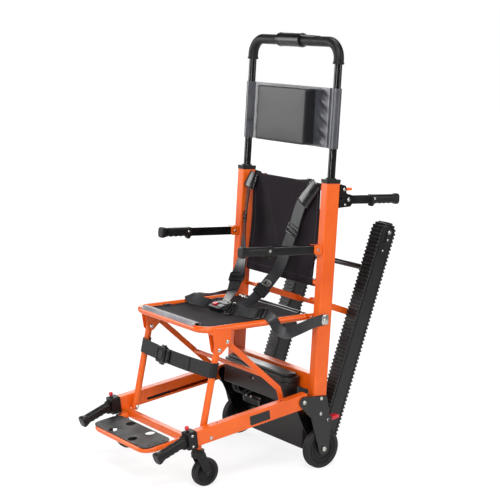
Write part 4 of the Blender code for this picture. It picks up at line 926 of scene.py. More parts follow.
class Assembly:
    """A sub-assembly of the chair, which makes and dresses its pieces."""

    def dress(self, obj: Object, finish: Finish) -> Object:
        """Gives an object its finish.

        Args:
            obj: The object.
            finish: The finish.

        Returns:
            The object.
        """
        obj.data.materials.clear()
        obj.data.materials.append(finish.material())
        return obj

    def piece(self, obj: Object, name: str, body: str, finish: Finish, stands_for: Sequence[str] = (),
              dressed: bool = False, blend: tuple[str, Point, Point] | None = None) -> Object:
        """Finishes a piece: its name, place, shading and finish, and, without a blend, the body that it
        moves with.

        Args:
            obj: The piece, in the drawing's places.
            name: Its name.
            body: The CAD body that carries it.
            finish: Its finish.
            stands_for: The CAD nodes that it replaces.
            dressed: Whether it already has its materials.
            blend: A second body and two points; when given, the piece is only baked in place and
                carried by no body, and the body and points in it are not used.

        Returns:
            The piece.
        """
        obj.name = obj.data.name = name
        obj.data.transform(Matrix.Translation((0, AXLE_Y, 0)))
        if not dressed:
            self.dress(obj, finish)
        only(obj)
        bpy.ops.object.shade_smooth_by_angle(angle=SMOOTH_ANGLE)
        if blend:
            other, start, end = blend
            shift = Vector((0, AXLE_Y, 0))
            Vector(start) + shift
            Vector(end) + shift
            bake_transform(obj)
        else:
            modify(obj, "WEIGHTED_NORMAL", keep_sharp=True, weight=90)
            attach(obj, body)
        if stands_for:
            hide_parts(*stands_for)
        LOG.info("%s on %s: %d faces", name, body, len(obj.data.polygons))
        return obj

    def bolts(self, name: str, body: str, spots: Sequence[tuple[Point, Point, float]],
              finish: Finish = STEEL) -> Object:
        """A group of socket screws and washers.

        Args:
            name: The group's name.
            body: The CAD body that carries it.
            spots: Each screw's seat, direction and radius.
            finish: Their finish.

        Returns:
            The group.
        """
        made = []
        for point, direction, r in spots:
            h = 0.55 * r
            made.append(turned([(0, 0), (1.25 * r, 0), (1.25 * r, 0.16 * r), (r, 0.18 * r),
                                (r, h - 0.15 * r), (0.85 * r, h), (0.5 * r, h), (0.45 * r, 0.6 * h),
                                (0, 0.6 * h)], aim(point, direction), 18))
        return self.piece(join(*made), name, body, finish)

    def stitches(self, name: str, body: str, lines: Sequence[Sequence[Point]]) -> Object:
        """Rows of sewn stitches, each a flattened grain of thread.

        Args:
            name: The group's name.
            body: The CAD body that carries it.
            lines: The rows, as lines of points.

        Returns:
            The group.
        """
        seed = added(bpy.ops.mesh.primitive_uv_sphere_add, segments=6, ring_count=4, radius=1.0)
        seed.data.transform(Matrix.Diagonal((0.0007, 0.0007, 0.0024, 1.0)))
        made, first, pitch = [], 0.003, 0.0066
        for line in lines:
            points = [Vector(p) for p in line]
            room = first
            for a, b in zip(points, points[1:]):
                gap = (b - a).length
                while room <= gap:
                    copy = seed.copy()
                    copy.data = seed.data.copy()
                    copy.data.transform(aim(a + (b - a) * (room / gap), b - a))
                    bpy.context.scene.collection.objects.link(copy)
                    made.append(copy)
                    room += pitch
                room -= gap
        bpy.data.objects.remove(seed)
        return self.piece(join(*made), name, body, THREAD)


@dataclass
class BackFrame(Assembly):
    """The welded back frame with its caps and its cloth."""

    x: float = FRAME_X
    y: float = FRAME_Y
    width: float = 0.038
    depth: float = 0.058
    bottom: float = 0.2
    top: float = 1.05
    bar: float = 0.011
    top_bar: Flat = (-0.02, 1.022)
    low_bar: Flat = (-0.031, 0.678)
    arm_pivot: Flat = ARM_PIVOT
    seat_pivot: Flat = SEAT_PIVOT
    link_pivot: Flat = LINK_PIVOT
    ear: float = EAR
    gap: float = 0.0003
    beam: Flat = (0.04, 0.06)
    beam_at: Flat = (-0.035, 0.32)
    stub_end: float = 0.159
    seat_lug: float = 0.236
    post_hole: float = 0.0148
    cloth_half: float = 0.204
    cloth_lift: float = 0.002

    def build(self) -> None:
        """Makes the frame, its caps and its cloth."""
        self.uprights()
        self.cross_members()
        self.lugs()
        self.caps()
        self.cloth()

    def uprights(self) -> None:
        """Square tubes, open at their lower ends."""
        made = []
        for s in SIGNS:
            post = plate(rounded(self.width, self.depth, 0.005), self.top - self.bottom,
                         plan(s * self.x, self.y, (self.top + self.bottom) / 2))
            with editing(post, "FACE"):
                pick(post, lambda face: face.normal.z < -0.9)
                bpy.ops.mesh.inset(thickness=0.002)
                bpy.ops.mesh.extrude_region_move(TRANSFORM_OT_translate={"value": (0, 0, 0.04)})
            made.append(post)
        self.piece(join(*made), "uprights", "base", ORANGE, ["back_frame"])

    def cross_members(self) -> None:
        """The bars for the cloth with their welds, the low beam and the stubs for the tracks' link."""
        inner = self.x - self.width / 2
        made = [block((2 * inner + 0.002, *self.beam), (0, *self.beam_at), 0.003)]
        for at in (self.top_bar, self.low_bar):
            made.append(across(-inner - 0.001, inner + 0.001, at, self.bar, 28))
            made += [turned([(self.bar - 0.001, -0.001), (self.bar + 0.003, -0.001),
                             (self.bar + 0.0022, 0.0012), (self.bar, 0.003), (self.bar - 0.001, 0.003)],
                            aim((s * inner, *at), (-s, 0, 0)), 28) for s in SIGNS]
        for s in SIGNS:
            made.append(across(s * (inner + 0.001), s * self.stub_end, self.link_pivot, 0.007))
            made.append(across(s * (self.stub_end + 0.001), s * (self.stub_end - 0.0005),
                               self.link_pivot, 0.0095))
        self.piece(join(*made), "cross_members", "base", ORANGE)

    def lugs(self) -> None:
        """Folded lugs for the armrests and the seat, with their pins."""
        made, spots = [], []
        front = self.y - self.depth / 2
        for s in SIGNS:
            x, ear = s * self.x, self.ear
            y, z = self.arm_pivot
            shape = [(front + 0.001, z - 0.017), (y - 0.011, z - 0.017), (y - 0.017, z - 0.009),
                     (y - 0.017, z + 0.015), (y - 0.015, z + 0.017), (front + 0.001, z + 0.017)]
            made += [plate(shape, 0.004, side(x + e * ear), 0.001) for e in (-1, 1)]
            made.append(block((0.0292, 0.003, 0.034), (x, front - 0.0012, z), 0.0008))
            spots += [((x + e * (ear + 0.002), *self.arm_pivot), (e, 0, 0), 0.0042) for e in (-1, 1)]
            shape = lug((self.y, self.seat_pivot[1]), self.seat_pivot, 0.014)
            made.append(plate(shape, 0.0045, side(s * self.seat_lug), 0.0008,
                              [circle(0.0058, self.seat_pivot)]))
            spots.append(((s * (self.x + self.width / 2 + 0.003), self.y - 0.004, 0.552), (s, 0, 0),
                          0.0075))
        self.piece(join(*made), "frame_lugs", "base", ORANGE)
        self.bolts("frame_bolts", "base", spots)

    def caps(self) -> None:
        """Moulded caps with a collar round each post of the push handle."""
        for name, s in SIDES.items():
            z, hole = self.top + self.gap, self.post_hole
            cap = plate(rounded(self.width + 0.004, self.depth + 0.004, 0.006), 0.008,
                        plan(s * self.x, self.y, z + 0.004), 0.0012, [circle(hole)])
            ring = turned([(hole, 0.0), (0.0195, 0.0), (0.0195, 0.002), (0.018, 0.004), (hole, 0.004)],
                          plan(s * self.x, self.y, z + 0.0078))
            skirt = plate(rounded(self.width + 0.003, self.depth + 0.003, 0.006), 0.006,
                          plan(s * self.x, self.y, z - 0.003), 0.0,
                          [rounded(self.width + 0.0004, self.depth + 0.0004, 0.005)])
            self.piece(join(cap, ring, skirt), f"cap_{name}", "base", PLASTIC, [f"upright_cap_{name}"])

    def cloth_point(self, u: float, t: float) -> Vector:
        """A point of the back cloth's front.

        Args:
            u: Place across, from -1 to 1.
            t: Place down, from 0 at the top bar to 1 at the low bar.

        Returns:
            The point.
        """
        reach = self.bar + self.cloth_lift
        z = self.top_bar[1] + (self.low_bar[1] - self.top_bar[1]) * t
        y = self.top_bar[0] - reach + (self.low_bar[0] - self.top_bar[0]) * t
        free = math.sin(math.pi * min(max(t, 0.0), 1.0))
        hang = 0.008 * free * (1 - 0.4 * u * u)
        # The far part hangs slack, away from a fold that runs from the far top corner to the middle.
        fold = 0.62 - 0.8 * t + u
        slack = 0.034 * free * math.log1p(math.exp(-22 * fold)) / 22 * (1 - u ** 10)
        ridge = -0.004 * free * math.exp(-(fold / 0.09) ** 2)
        ripple = 0.0012 * free * math.sin(7 * u + 4 * t)
        return Vector((u * self.cloth_half, y + hang + slack + ridge + ripple, z))

    def cloth(self) -> None:
        """The back cloth: hung between the bars, wrapped round both, with sewn hems."""
        reach = self.bar + self.cloth_lift
        columns = [i / 20 - 1 for i in range(41)]
        over, under = arc(self.top_bar, reach, -60, 168, 19), arc(self.low_bar, reach, 192, 420, 19)
        rows = [[(u * self.cloth_half, *p) for u in columns] for p in over]
        rows += [[self.cloth_point(u, i / 44) for u in columns] for i in range(45)]
        rows += [[(u * self.cloth_half, *p) for u in columns] for p in under]
        panel = sheet(rows, 0.0022)
        edges, lift = (0.955, 0.975, 0.995), Vector((0, -0.0004, 0))
        hems = [sheet([[self.cloth_point(s * u, i / 44) + lift for u in edges] for i in range(45)],
                      0.0042) for s in SIGNS]
        cloth = self.piece(join(panel, *hems), "back_cloth", "base", CLOTH, ["backrest_panel"])
        lift = Vector((0, -0.0026, 0))
        lines = [[self.cloth_point(s * 0.945, i / 30) + lift for i in range(1, 30)] for s in SIGNS]
        lines.append([self.cloth_point(u, 0.955) + lift for u in columns])
        self.stitches("back_cloth_stitches", "base", lines)


@dataclass
class PushHandle(Assembly):
    """The sliding push handle with its grip, and the headrest slung between its posts."""

    x: float = FRAME_X
    y: float = FRAME_Y
    foot: float = 0.86
    top: float = 1.539
    bend: float = 0.06
    post: float = 0.014
    sleeve: float = 0.0185
    sleeve_low: float = 1.462
    sling_low: float = 1.166
    sling_high: float = 1.378
    sling_off: float = 0.003
    pad_size: Point = (0.294, 0.046, 0.203)
    pad_off: float = 0.0042
    pad_swell: float = 0.004
    pad_piping: float = 0.008
    pad_grid: float = 0.004
    pad_bulge: float = 0.003
    pad_frames: int = 20

    def build(self) -> None:
        """Makes the handle and the headrest."""
        self.bar()
        self.grip()
        self.sling()
        self.pad()

    def loop(self, low: float) -> list[Vector]:
        """The handle's middle line from one height over the top and down again."""
        x, y = self.x, self.y
        return fillet([(-x, y, low), (-x, y, self.top), (x, y, self.top), (x, y, low)], self.bend, 16)

    def bar(self) -> None:
        """The bent tube."""
        self.piece(tube(self.loop(self.foot), self.post, 32), "handle_tube", "push_handle", BLACK,
                   ["push_handle_tube"])

    def grip(self) -> None:
        """The foam sleeve with its end rings, and the moulded cover with its tongue."""
        sleeve = tube(self.loop(self.sleeve_low + 0.004), self.sleeve, 32)
        rings = [turned(mirrored([(self.post + 0.001, 0.004), (0.0195, 0.004), (0.0203, 0.002)]),
                        plan(s * self.x, self.y, self.sleeve_low + 0.004)) for s in SIGNS]
        self.piece(join(sleeve, *rings), "handle_foam", "push_handle", FOAM, ["push_handle_grip"])
        axis = aim((0, self.y, self.top + 0.0015), (1, 0, 0))
        cover = turned([(0.016, -0.093), (0.0225, -0.093), (0.0248, -0.091), (0.0256, -0.086),
                        (0.0256, 0.036), (0.0262, 0.038), (0.0262, 0.045), (0.025, 0.048),
                        (0.016, 0.048)], axis, 40)
        ribs = [turned([(0.02, h - 0.001), (0.026, h - 0.001), (0.0263, h), (0.026, h + 0.001),
                        (0.02, h + 0.001)], axis, 40) for h in (-0.083, -0.078)]
        tip = arc((0.128, 0.0), 0.0125, -80, 80, 10)
        shape = [(0.04, -0.018), (0.105, -0.015), *tip, (0.105, 0.015), (0.04, 0.018)]
        place = plan(0, self.y, self.top + 0.0195) @ Matrix.Rotation(math.radians(1.6), 4, "Y")
        tongue = plate(shape, 0.0085, place, 0.0028, (), 3)
        self.piece(join(cover, *ribs, tongue), "grip_cover", "push_handle", COVER)

    def sling(self) -> None:
        """The leathercloth sling: a sleeve round each post and a slack sheet between them."""
        x, y, r = self.x, self.y, self.post + self.sling_off
        margin, half, steps = 0.03, 0.0022, 64
        run = 2 * x - 2 * margin
        line = [(-x + u, v) for u, v in arc((0, 0), r, 48, 312, 26)]
        line += [(-x + margin + run * i / steps, -half) for i in range(steps + 1)]
        line += [(x + u, v) for u, v in arc((0, 0), r, -132, 132, 26)]
        line += [(x - margin - run * i / steps, half) for i in range(steps + 1)]
        rows, count = [], 34
        # Folds gather beside the posts, deeper on the near side, and die out at the sleeves.
        edge, near_x, far_x = 0.232, 0.192, -0.195
        near_wide, far_wide, near_deep, far_deep = 0.022, 0.03, 0.0062, 0.0016
        for k in range(count + 1):
            t = k / count
            z = self.sling_low + (self.sling_high - self.sling_low) * t
            row = []
            for u, v in line:
                free = max(0.0, 1 - (abs(u) / edge) ** 8)
                near = math.exp(-((u - near_x) / near_wide) ** 2)
                far = math.exp(-((u - far_x) / far_wide) ** 2)
                folds = near_deep * near * math.sin(27 * t + 60 * (u - 0.19))
                folds *= math.sin(math.pi * t) ** 0.5
                folds += far_deep * far * math.sin(21 * t + 2)
                row.append((u, y + v - free * folds, z))
            rows.append(row + [row[0]])
        wrap = sheet(rows, 0.0018)
        with editing(wrap):
            bpy.ops.mesh.remove_doubles(threshold=2e-4)
        sling = self.piece(wrap, "headrest_leathercloth", "push_handle", VINYL, ["headrest_sling"])
        seam = [[(s * u, y - 0.004, self.sling_low + 0.004 + 0.204 * i / 20) for i in range(21)]
                for u in (0.214, 0.208) for s in SIGNS]
        self.stitches("sling_stitches", "push_handle", seam)

    def pad(self) -> None:
        """The foam pad in its cover, swelled by cloth simulation, with a welt round its front."""
        width, depth, height = self.pad_size
        back = self.y - self.pad_off
        centre = (0, back - depth / 2, self.sling_low + 0.002 + height / 2)
        pad = block((width - 0.002, depth - 0.002, height - 0.002), centre, 0.003, 0.0, 2)
        modify(pad, "REMESH", mode="VOXEL", voxel_size=self.pad_grid)
        # The piped edges hold the cover, so they stay still while its faces swell.
        piping = pad.vertex_groups.new(name="piping")
        for vertex in pad.data.vertices:
            gaps = sorted(self.pad_size[i] / 2 - abs(vertex.co[i] - centre[i]) for i in range(3))
            if gaps[1] < self.pad_piping:
                piping.add([vertex.index], 1.0, "REPLACE")
        rest = [v.co.copy() for v in pad.data.vertices]
        only(pad)
        bpy.ops.object.modifier_add(type="CLOTH")
        cloth = pad.modifiers[-1]
        cloth.settings.use_pressure = True
        cloth.settings.uniform_pressure_force = 1.0
        cloth.settings.effector_weights.gravity = 0.0
        cloth.settings.quality = 6
        cloth.settings.vertex_group_mass = piping.name
        for now in range(1, self.pad_frames + 1):
            bpy.context.scene.frame_set(now)
        bpy.ops.object.modifier_apply(modifier=cloth.name)
        bpy.context.scene.frame_set(1)
        half = Vector(self.pad_size) / 2
        low, high = Vector(centre) - half, Vector(centre) + half
        for vertex, old in zip(pad.data.vertices, rest):
            move = vertex.co - old
            if move.length > self.pad_swell:
                vertex.co = old + move.normalized() * self.pad_swell
            for i in range(3):
                vertex.co[i] = min(max(vertex.co[i], low[i] - self.pad_bulge * (i == 1)), high[i])
        modify(pad, "SMOOTH", factor=0.5, iterations=2)
        modify(pad, "SUBSURF", levels=1, render_levels=1)
        # The welt lies where the front meets the sides, on the swelled surface itself.
        loop = [(u, back - depth + 0.003, centre[2] + v)
                for u, v in rounded(width - 0.004, height - 0.004, 0.006, steps=6)]
        runs = [(Vector(a), Vector(b)) for a, b in zip(loop, loop[1:] + loop[:1])]
        dense = [a + (b - a) * (k / 8) for a, b in runs for k in range(8)]
        seam = [pad.closest_point_on_mesh(p)[1] for p in dense]
        welt = tube(seam, 0.0016, 8, closed=True)
        made = self.piece(pad, "headrest_cushion", "push_handle", PAD_COVER, ["headrest_pad"])
        self.piece(welt, "headrest_welt", "push_handle", PAD_COVER)


@dataclass
class CarryHandles(Assembly):
    """Armrests ahead of the uprights and lift bars behind them, with their brackets and levers."""

    x: float = FRAME_X
    thick: float = 0.02
    high: float = 0.032
    grip: float = 0.133
    arm_pivot: Flat = ARM_PIVOT
    arm_bar: float = 0.196
    rear_pivot: Flat = (0.045, 0.985)
    rear_bar: float = 0.108
    lever_pivot: Flat = (0.022, 1.022)
    ear: float = EAR
    ear_thick: float = 0.004
    bracket_root: float = -0.0007
    bracket_drop: float = 0.0287
    bracket_high: float = 0.086

    def build(self) -> None:
        """Makes both kinds on both sides."""
        for name, s in SIDES.items():
            self.bar(s, f"armrest_{name}", self.arm_pivot, -1, self.arm_bar)
            self.bar(s, f"rear_handle_{name}", self.rear_pivot, 1, self.rear_bar)
            self.bracket(name, s)
            self.lever(name, s)

    def bar(self, s: int, body: str, pivot: Flat, way: int, length: float) -> None:
        """One flat bar with its moulded grip.

        Args:
            s: The side's sign.
            body: The CAD body and node.
            pivot: The bar's pin in side view.
            way: -1 for ahead, 1 for behind.
            length: Length of the bare bar.
        """
        x = s * self.x

        def place(a: float, b: float) -> Flat:
            """A point along and above the bar."""
            return (pivot[0] + way * a, pivot[1] + b)

        shape = lug(place(length + 0.012, 0), pivot, self.high / 2)
        flat = plate(shape, self.thick, side(x), 0.003, [circle(0.0046, pivot)], 3)
        self.piece(flat, f"{body}_bar", body, BLACK, [body])
        grip = grip_body(length=self.grip, height=0.034, width=0.03, flare=0.003, hook=0.009, x=x,
                         place=lambda a, b: place(length + a, b))
        ring = plate(rounded(0.0312, 0.0352, 0.006), 0.004,
                     axes((1, 0, 0), (0, 0, 1), (x, *place(length + 0.004, 0.0))), 0.0008)
        self.piece(join(grip, ring), f"{body}_grip", body, PLASTIC)
        self.bolts(f"{body}_screws", body,
                   [((x + e * 0.015, *place(length + 0.016, 0.003)), (e, 0, 0), 0.0042)
                    for e in (-1, 1)])

    def bracket(self, name: str, s: int) -> None:
        """The stepped bracket of a lift bar, drilled and screwed to the upright.

        Args:
            name: The side's name.
            s: The side's sign.
        """
        x, (y, z), root = s * self.x, self.rear_pivot, self.bracket_root
        low = z - self.bracket_drop
        high = low + self.bracket_high
        step, nose = self.lever_pivot[0] + 0.01, y + 0.02
        cheek = [(root + 0.001, low), (nose - 0.01, low + 0.004), (nose - 0.003, z - 0.016),
                 (nose, z - 0.006), (nose, z + 0.008), (nose - 0.003, z + 0.017),
                 (step + 0.006, z + 0.022), (step + 0.001, z + 0.026), (step, high - 0.012),
                 (step - 0.004, high - 0.006), (root + 0.001, high)]
        holes = [circle(0.0038, (0.012, z + 0.006)), circle(0.0038, (0.015, z - 0.016))]
        made = [block((0.038, 0.004, self.bracket_high), (x, root + 0.002, (low + high) / 2), 0.0008)]
        made += [plate(cheek, self.ear_thick, side(x + e * self.ear), 0.0008, holes) for e in (-1, 1)]
        self.piece(join(*made), f"rear_bracket_{name}", "base", BLACK, [f"rear_handle_bracket_{name}"])
        spots = [((x + e * 0.0146, *at), (e, 0, 0), r) for e in (-1, 1)
                 for at, r in ((self.rear_pivot, 0.0055), (self.lever_pivot, 0.0042),
                               ((0.03, z - 0.018), 0.0035))]
        self.bolts(f"rear_bracket_screws_{name}", "base", spots)

    def lever(self, name: str, s: int) -> None:
        """The orange release lever, with a thumb lip.

        Args:
            name: The side's name.
            s: The side's sign.
        """
        y, z = self.lever_pivot
        shape = strip_outline([(y, z), (y + 0.024, z + 0.0005), (y + 0.036, z + 0.001)], 0.005)
        flat = plate(shape, 0.018, side(s * self.x), 0.0012, [circle(0.0033, self.lever_pivot)])
        lip = block((0.016, 0.005, 0.003), (s * self.x, y + 0.036, z + 0.005), 0.001)
        self.piece(join(flat, lip), f"release_lever_{name}", f"rear_handle_lever_{name}", ORANGE,
                   [f"rear_handle_lever_{name}"])


@dataclass
class LowerFrame(Assembly):
    """The lower rails with their collars, lift handles, lock knobs, casters and footrest."""

    x: float = FRAME_X
    pivot: Flat = RAIL_PIVOT
    slope: float = math.radians(10.55)
    reach: float = 0.459
    tail: float = 0.02
    width: float = 0.036
    height: float = 0.054
    wall: float = 0.002
    slot: Point = (0.01, 0.303, 0.011)
    beam: Point = (0.48, 0.025, 0.025)
    beam_z: float = 0.149
    leg_foot: Flat = (0.4075, -0.0165)
    caster_back: float = 0.0185
    caster_trail: float = 0.033
    caster_top: float = 0.1335
    caster_radius: float = 0.05
    foot_hinge: Flat = (-0.564815, 0.146)
    foot_tilt: float = math.radians(10.5)
    foot_length: float = 0.138
    foot_half: float = 0.18
    collar_hole: Flat = (0.0274, 0.0414)
    lock_ahead: float = 0.0252
    slider_back: float = 0.22
    plate_along: float = 0.1935
    tag: Flat = (0.086, 0.034)
    slot_x: float = 0.239
    bolt_low: float = 0.012
    bolt_along: float = 0.402
    plugs_along: Flat = (0.085, 0.362)
    leg_pin: Flat = (0.24, 0.207)
    foot_ear: float = 0.198
    foot_tube: float = 0.01
    foot_bend: float = 0.045
    hole: float = 0.018
    hole_x: float = 0.065
    holes_along: Flat = (0.048, 0.12)
    grip_start: float = 0.036
    droop: float = math.radians(13.5)

    def build(self) -> None:
        """Makes the rails and all that they carry."""
        self.rails()
        for name, s in SIDES.items():
            self.handle(name, s)
            self.caster(name, s)
        self.footrest()

    def at(self, along: float, above: float = 0.0) -> Flat:
        """A point of the rails' side view, ahead of their rear pivot and above their middle line."""
        return swung(self.pivot, self.slope, -along, above)

    def foot(self, along: float, above: float = 0.0) -> Flat:
        """A point of the footrest's side view, ahead of its hinge and above its tube's middle."""
        return swung(self.foot_hinge, self.foot_tilt, -along, above)

    def swivel(self) -> Flat:
        """The casters' swivel in the side view: its place, and the height of the rails' underside."""
        along = self.reach - self.caster_back
        return (self.at(along)[0], self.at(along, -self.height / 2)[1])

    def rails(self) -> None:
        """The box rails with their slots, front beam, caster sleeves and ears for the footrest."""
        up = (0, -math.sin(self.slope), math.cos(self.slope))
        outer = rounded(self.width, self.height, 0.0045)
        inner = rounded(self.width - 2 * self.wall, self.height - 2 * self.wall, 0.003)
        made, spots = [], []
        caster_y, under = self.swivel()
        front_y = self.at(self.reach - 0.034)[0] - self.beam[1]
        for s in SIGNS:
            x = s * self.x
            middle = (x, *self.at((self.reach - self.tail) / 2))
            rail = plate(outer, self.reach + self.tail, axes((1, 0, 0), up, middle), 0.0, [inner])
            slot_at = (s * self.slot_x, *self.at(self.plate_along, -self.bolt_low))
            slot = block(self.slot, slot_at, 0.004, self.slope)
            cut(rail, slot, across(x - 0.03, x + 0.03, self.pivot, 0.0064))
            made.append(rail)
            tall = under - self.caster_top + 0.001
            made.append(turned([(0.0066, 0), (0.0105, 0), (0.0115, 0.001), (0.0115, tall),
                                (0.0066, tall)], plan(x, caster_y, self.caster_top + 0.0003)))
            made.append(plate(lug((front_y + 0.001, self.foot_hinge[1]), self.foot_hinge, 0.01), 0.004,
                              side(s * self.foot_ear), 0.0008))
            low, bolt = self.at(*self.leg_foot), self.at(self.bolt_along, -self.bolt_low)
            outside, inside = self.leg_pin
            made.append(across(s * outside, s * inside, low, 0.004))
            spots += [((s * (inside + 0.0005), *low), (-s, 0, 0), 0.0062),
                      ((s * (self.foot_ear - 0.002), *self.foot_hinge), (-s, 0, 0), 0.005),
                      ((s * (self.x + 0.018), *bolt), (s, 0, 0), 0.005)]
        made.append(block(self.beam, (0, front_y + self.beam[1] / 2, self.beam_z), 0.002))
        self.piece(join(*made), "lower_rails", "rails", ORANGE, ["rail_frame"])
        self.bolts("rail_bolts", "rails", spots)
        # A bare data plate on the near rail, and small plugs in the rails' tops.
        plate_at = self.at(self.plate_along, -0.001)
        cos, sin = math.cos(self.slope), math.sin(self.slope)
        tag = plate(rounded(*self.tag, 0.002), 0.0008,
                    axes((0, cos, sin), (0, -sin, cos), (self.x + 0.0183, *plate_at)), 0.0002)
        self.piece(tag, "data_plate", "rails", COVER)
        plugs = [turned([(0, -0.001), (0.0032, -0.001), (0.0032, 0.0003), (0.0026, 0.0008),
                         (0, 0.0008)], aim((s * self.x, *self.at(a, self.height / 2)), up), 16)
                 for s in SIGNS for a in self.plugs_along]
        self.piece(join(*plugs), "rail_plugs", "rails", PLASTIC)

    def handle(self, name: str, s: int) -> None:
        """One end collar with its lock knob, and the lift handle that slides out of the rail.

        Args:
            name: The side's name.
            s: The side's sign.
        """
        x, end, lock = s * self.x, self.reach, self.reach + self.lock_ahead
        hole = rounded(*self.collar_hole, 0.001, steps=1)
        up = (0, -math.sin(self.slope), math.cos(self.slope))
        collar = plate(rounded(self.width + 0.008, self.height + 0.008, 0.007), 0.0354,
                       axes((1, 0, 0), up, (x, *self.at(end + 0.0183))), 0.0022, [hole], 3)
        boss = turned([(0.003, 0), (0.0085, 0), (0.0078, 0.0045), (0.003, 0.0045)],
                      aim((x, *self.at(lock, 0.0305)), up), 24)
        flange = plate(rounded(self.width + 0.0095, self.height + 0.0095, 0.0075), 0.005,
                       axes((1, 0, 0), up, (x, *self.at(end + 0.0032))), 0.0012, [hole])
        self.piece(join(collar, boss, flange), f"collar_{name}", "rails", PLASTIC,
                   [f"rail_collar_{name}"])
        self.bolts(f"collar_screws_{name}", "rails",
                   [((x + s * 0.0222, *self.at(end + 0.02, h)), (s, 0, 0), 0.0036)
                    for h in (0.019, -0.019)])
        root = self.at(lock, 0.0203)
        rise = 0.0237
        knob = turned([(0, 0), (0.0024, 0), (0.0024, rise - 0.007), (0.005, rise - 0.0068),
                       (0.0074, rise - 0.003), (0.008, rise), (0.0072, rise + 0.0038),
                       (0.0045, rise + 0.0068), (0, rise + 0.008)], aim((x, *root), up), 28)
        self.piece(knob, f"knob_{name}", f"lock_knob_{name}", RED, [f"lock_knob_{name}"])
        start = end + self.grip_start
        slider = plate([self.at(a, b)
                        for a, b in ((end - self.slider_back, -0.02), (start + 0.014, -0.018),
                                     (start + 0.014, 0.016), (start - 0.002, 0.02),
                                     (end - self.slider_back, 0.02))], 0.026, side(x), 0.0008)
        cos, sin = math.cos(self.droop), math.sin(self.droop)

        def place(a: float, b: float) -> Flat:
            """A point along and above the drooping grip."""
            return self.at(start + 0.004 + a * cos + b * sin, -a * sin + b * cos)

        grip = grip_body(length=0.122, height=0.032, width=0.032, flare=0.004, hook=0.009, x=x,
                         place=place)
        self.piece(join(slider, grip), f"lift_grip_{name}", f"lift_handle_{name}", PLASTIC,
                   [f"lift_handle_{name}"])

    def caster(self, name: str, s: int) -> None:
        """One swivel caster: forked housing, core and tyre.

        Args:
            name: The side's name.
            s: The side's sign.
        """
        x, (y, under), hub_high = s * self.x, self.swivel(), 0.0295
        low, wheel_y, r = self.caster_top - hub_high, y + self.caster_trail, self.caster_radius
        hub = turned([(0, 0), (0.02, 0), (0.022, 0.002), (0.022, 0.0225), (0.0206, 0.0235),
                      (0.0206, 0.0255), (0.022, 0.0265), (0.022, 0.0282), (0.0206, hub_high),
                      (0.0058, hub_high), (0.0058, under - low - 0.002), (0, under - low - 0.002)],
                     plan(x, y, low), 36)
        shape = hull([(y, low + 0.012, 0.017), (y + 0.01, low + 0.012, 0.011), (wheel_y, r, 0.013)])
        cheeks = [plate(shape, 0.004, side(x + e * 0.0165), 0.0012) for e in (-1, 1)]
        bosses = [turned([(0, 0), (0.0095, 0), (0.0085, 0.0016), (0, 0.0016)],
                         aim((x + e * 0.0184, wheel_y, r), (e, 0, 0)), 24) for e in (-1, 1)]
        notch = block((0.012, 0.0035, 0.022), (x, y - 0.0212, low + 0.012), 0.0008)
        self.piece(join(hub, *cheeks, *bosses, notch), f"fork_{name}", f"caster_fork_{name}", PLASTIC,
                   [f"caster_fork_{name}"])
        self.bolts(f"fork_bolts_{name}", f"caster_fork_{name}",
                   [((x + e * 0.0195, wheel_y, r), (e, 0, 0), 0.005) for e in (-1, 1)], BLACK)
        axis = aim((x, wheel_y, r), (1, 0, 0))
        tyre = turned(mirrored([(0.036, 0.0115), (0.0385, 0.0128), (0.0455, 0.0128), (0.0486, 0.0108),
                                (r, 0.0065)]), axis, 56)
        self.piece(tyre, f"caster_tyre_{name}", f"caster_wheel_{name}", TYRE, [f"caster_wheel_{name}"])
        self.piece(wheel_core(axis, 0.0046, 0.0363, 0.0125), f"caster_core_{name}",
                   f"caster_wheel_{name}", PLASTIC)

    def footrest(self) -> None:
        """The footrest: a bent tube, a drilled deck, its screws and rubber feet."""
        start, end, h = self.foot(-0.004), self.foot(self.foot_length), self.foot_half
        bends = [(-h, *start), (-h, *end), (h, *end), (h, *start)]
        loop = tube(fillet(bends, self.foot_bend), self.foot_tube, 28)
        pins = [across(s * h, s * (self.foot_ear + 0.004), self.foot_hinge, 0.004) for s in SIGNS]
        self.piece(join(loop, *pins), "footrest_loop", "footrest", ORANGE, ["footrest_frame"])
        back = (0, math.cos(self.foot_tilt), math.sin(self.foot_tilt))
        above, front = 0.0118, self.foot_length + 0.004
        place = axes((1, 0, 0), back, (0, *self.foot(0.0, above)))
        outline = rounded(2 * h + 0.004, front - 0.028, 0.03, (0.0, -(front + 0.028) / 2), 10)
        holes = [circle(self.hole, (s * self.hole_x, -a), 36) for s in SIGNS for a in self.holes_along]
        deck = plate(outline, 0.003, place, 0.0006, holes)
        self.piece(deck, "footrest_deck", "footrest", PLASTIC, ["footrest_plate"])
        at = self.foot_length - 0.024
        normal = Vector((0, -math.sin(self.foot_tilt), math.cos(self.foot_tilt)))
        feet = [turned([(0, 0), (0.0085, 0), (0.01, 0.003), (0.0092, 0.03), (0, 0.03)],
                       aim((s * 0.1, *self.foot(at, above - 0.034)), normal), 24) for s in SIGNS]
        self.piece(join(*feet), "footrest_feet", "footrest", RUBBER)
        self.bolts("footrest_screws", "footrest",
                   [((u, *self.foot(a, above + 0.0015)), normal, 0.0034) for u in (-0.16, 0.16)
                    for a in (0.052, 0.112)], BLACK)


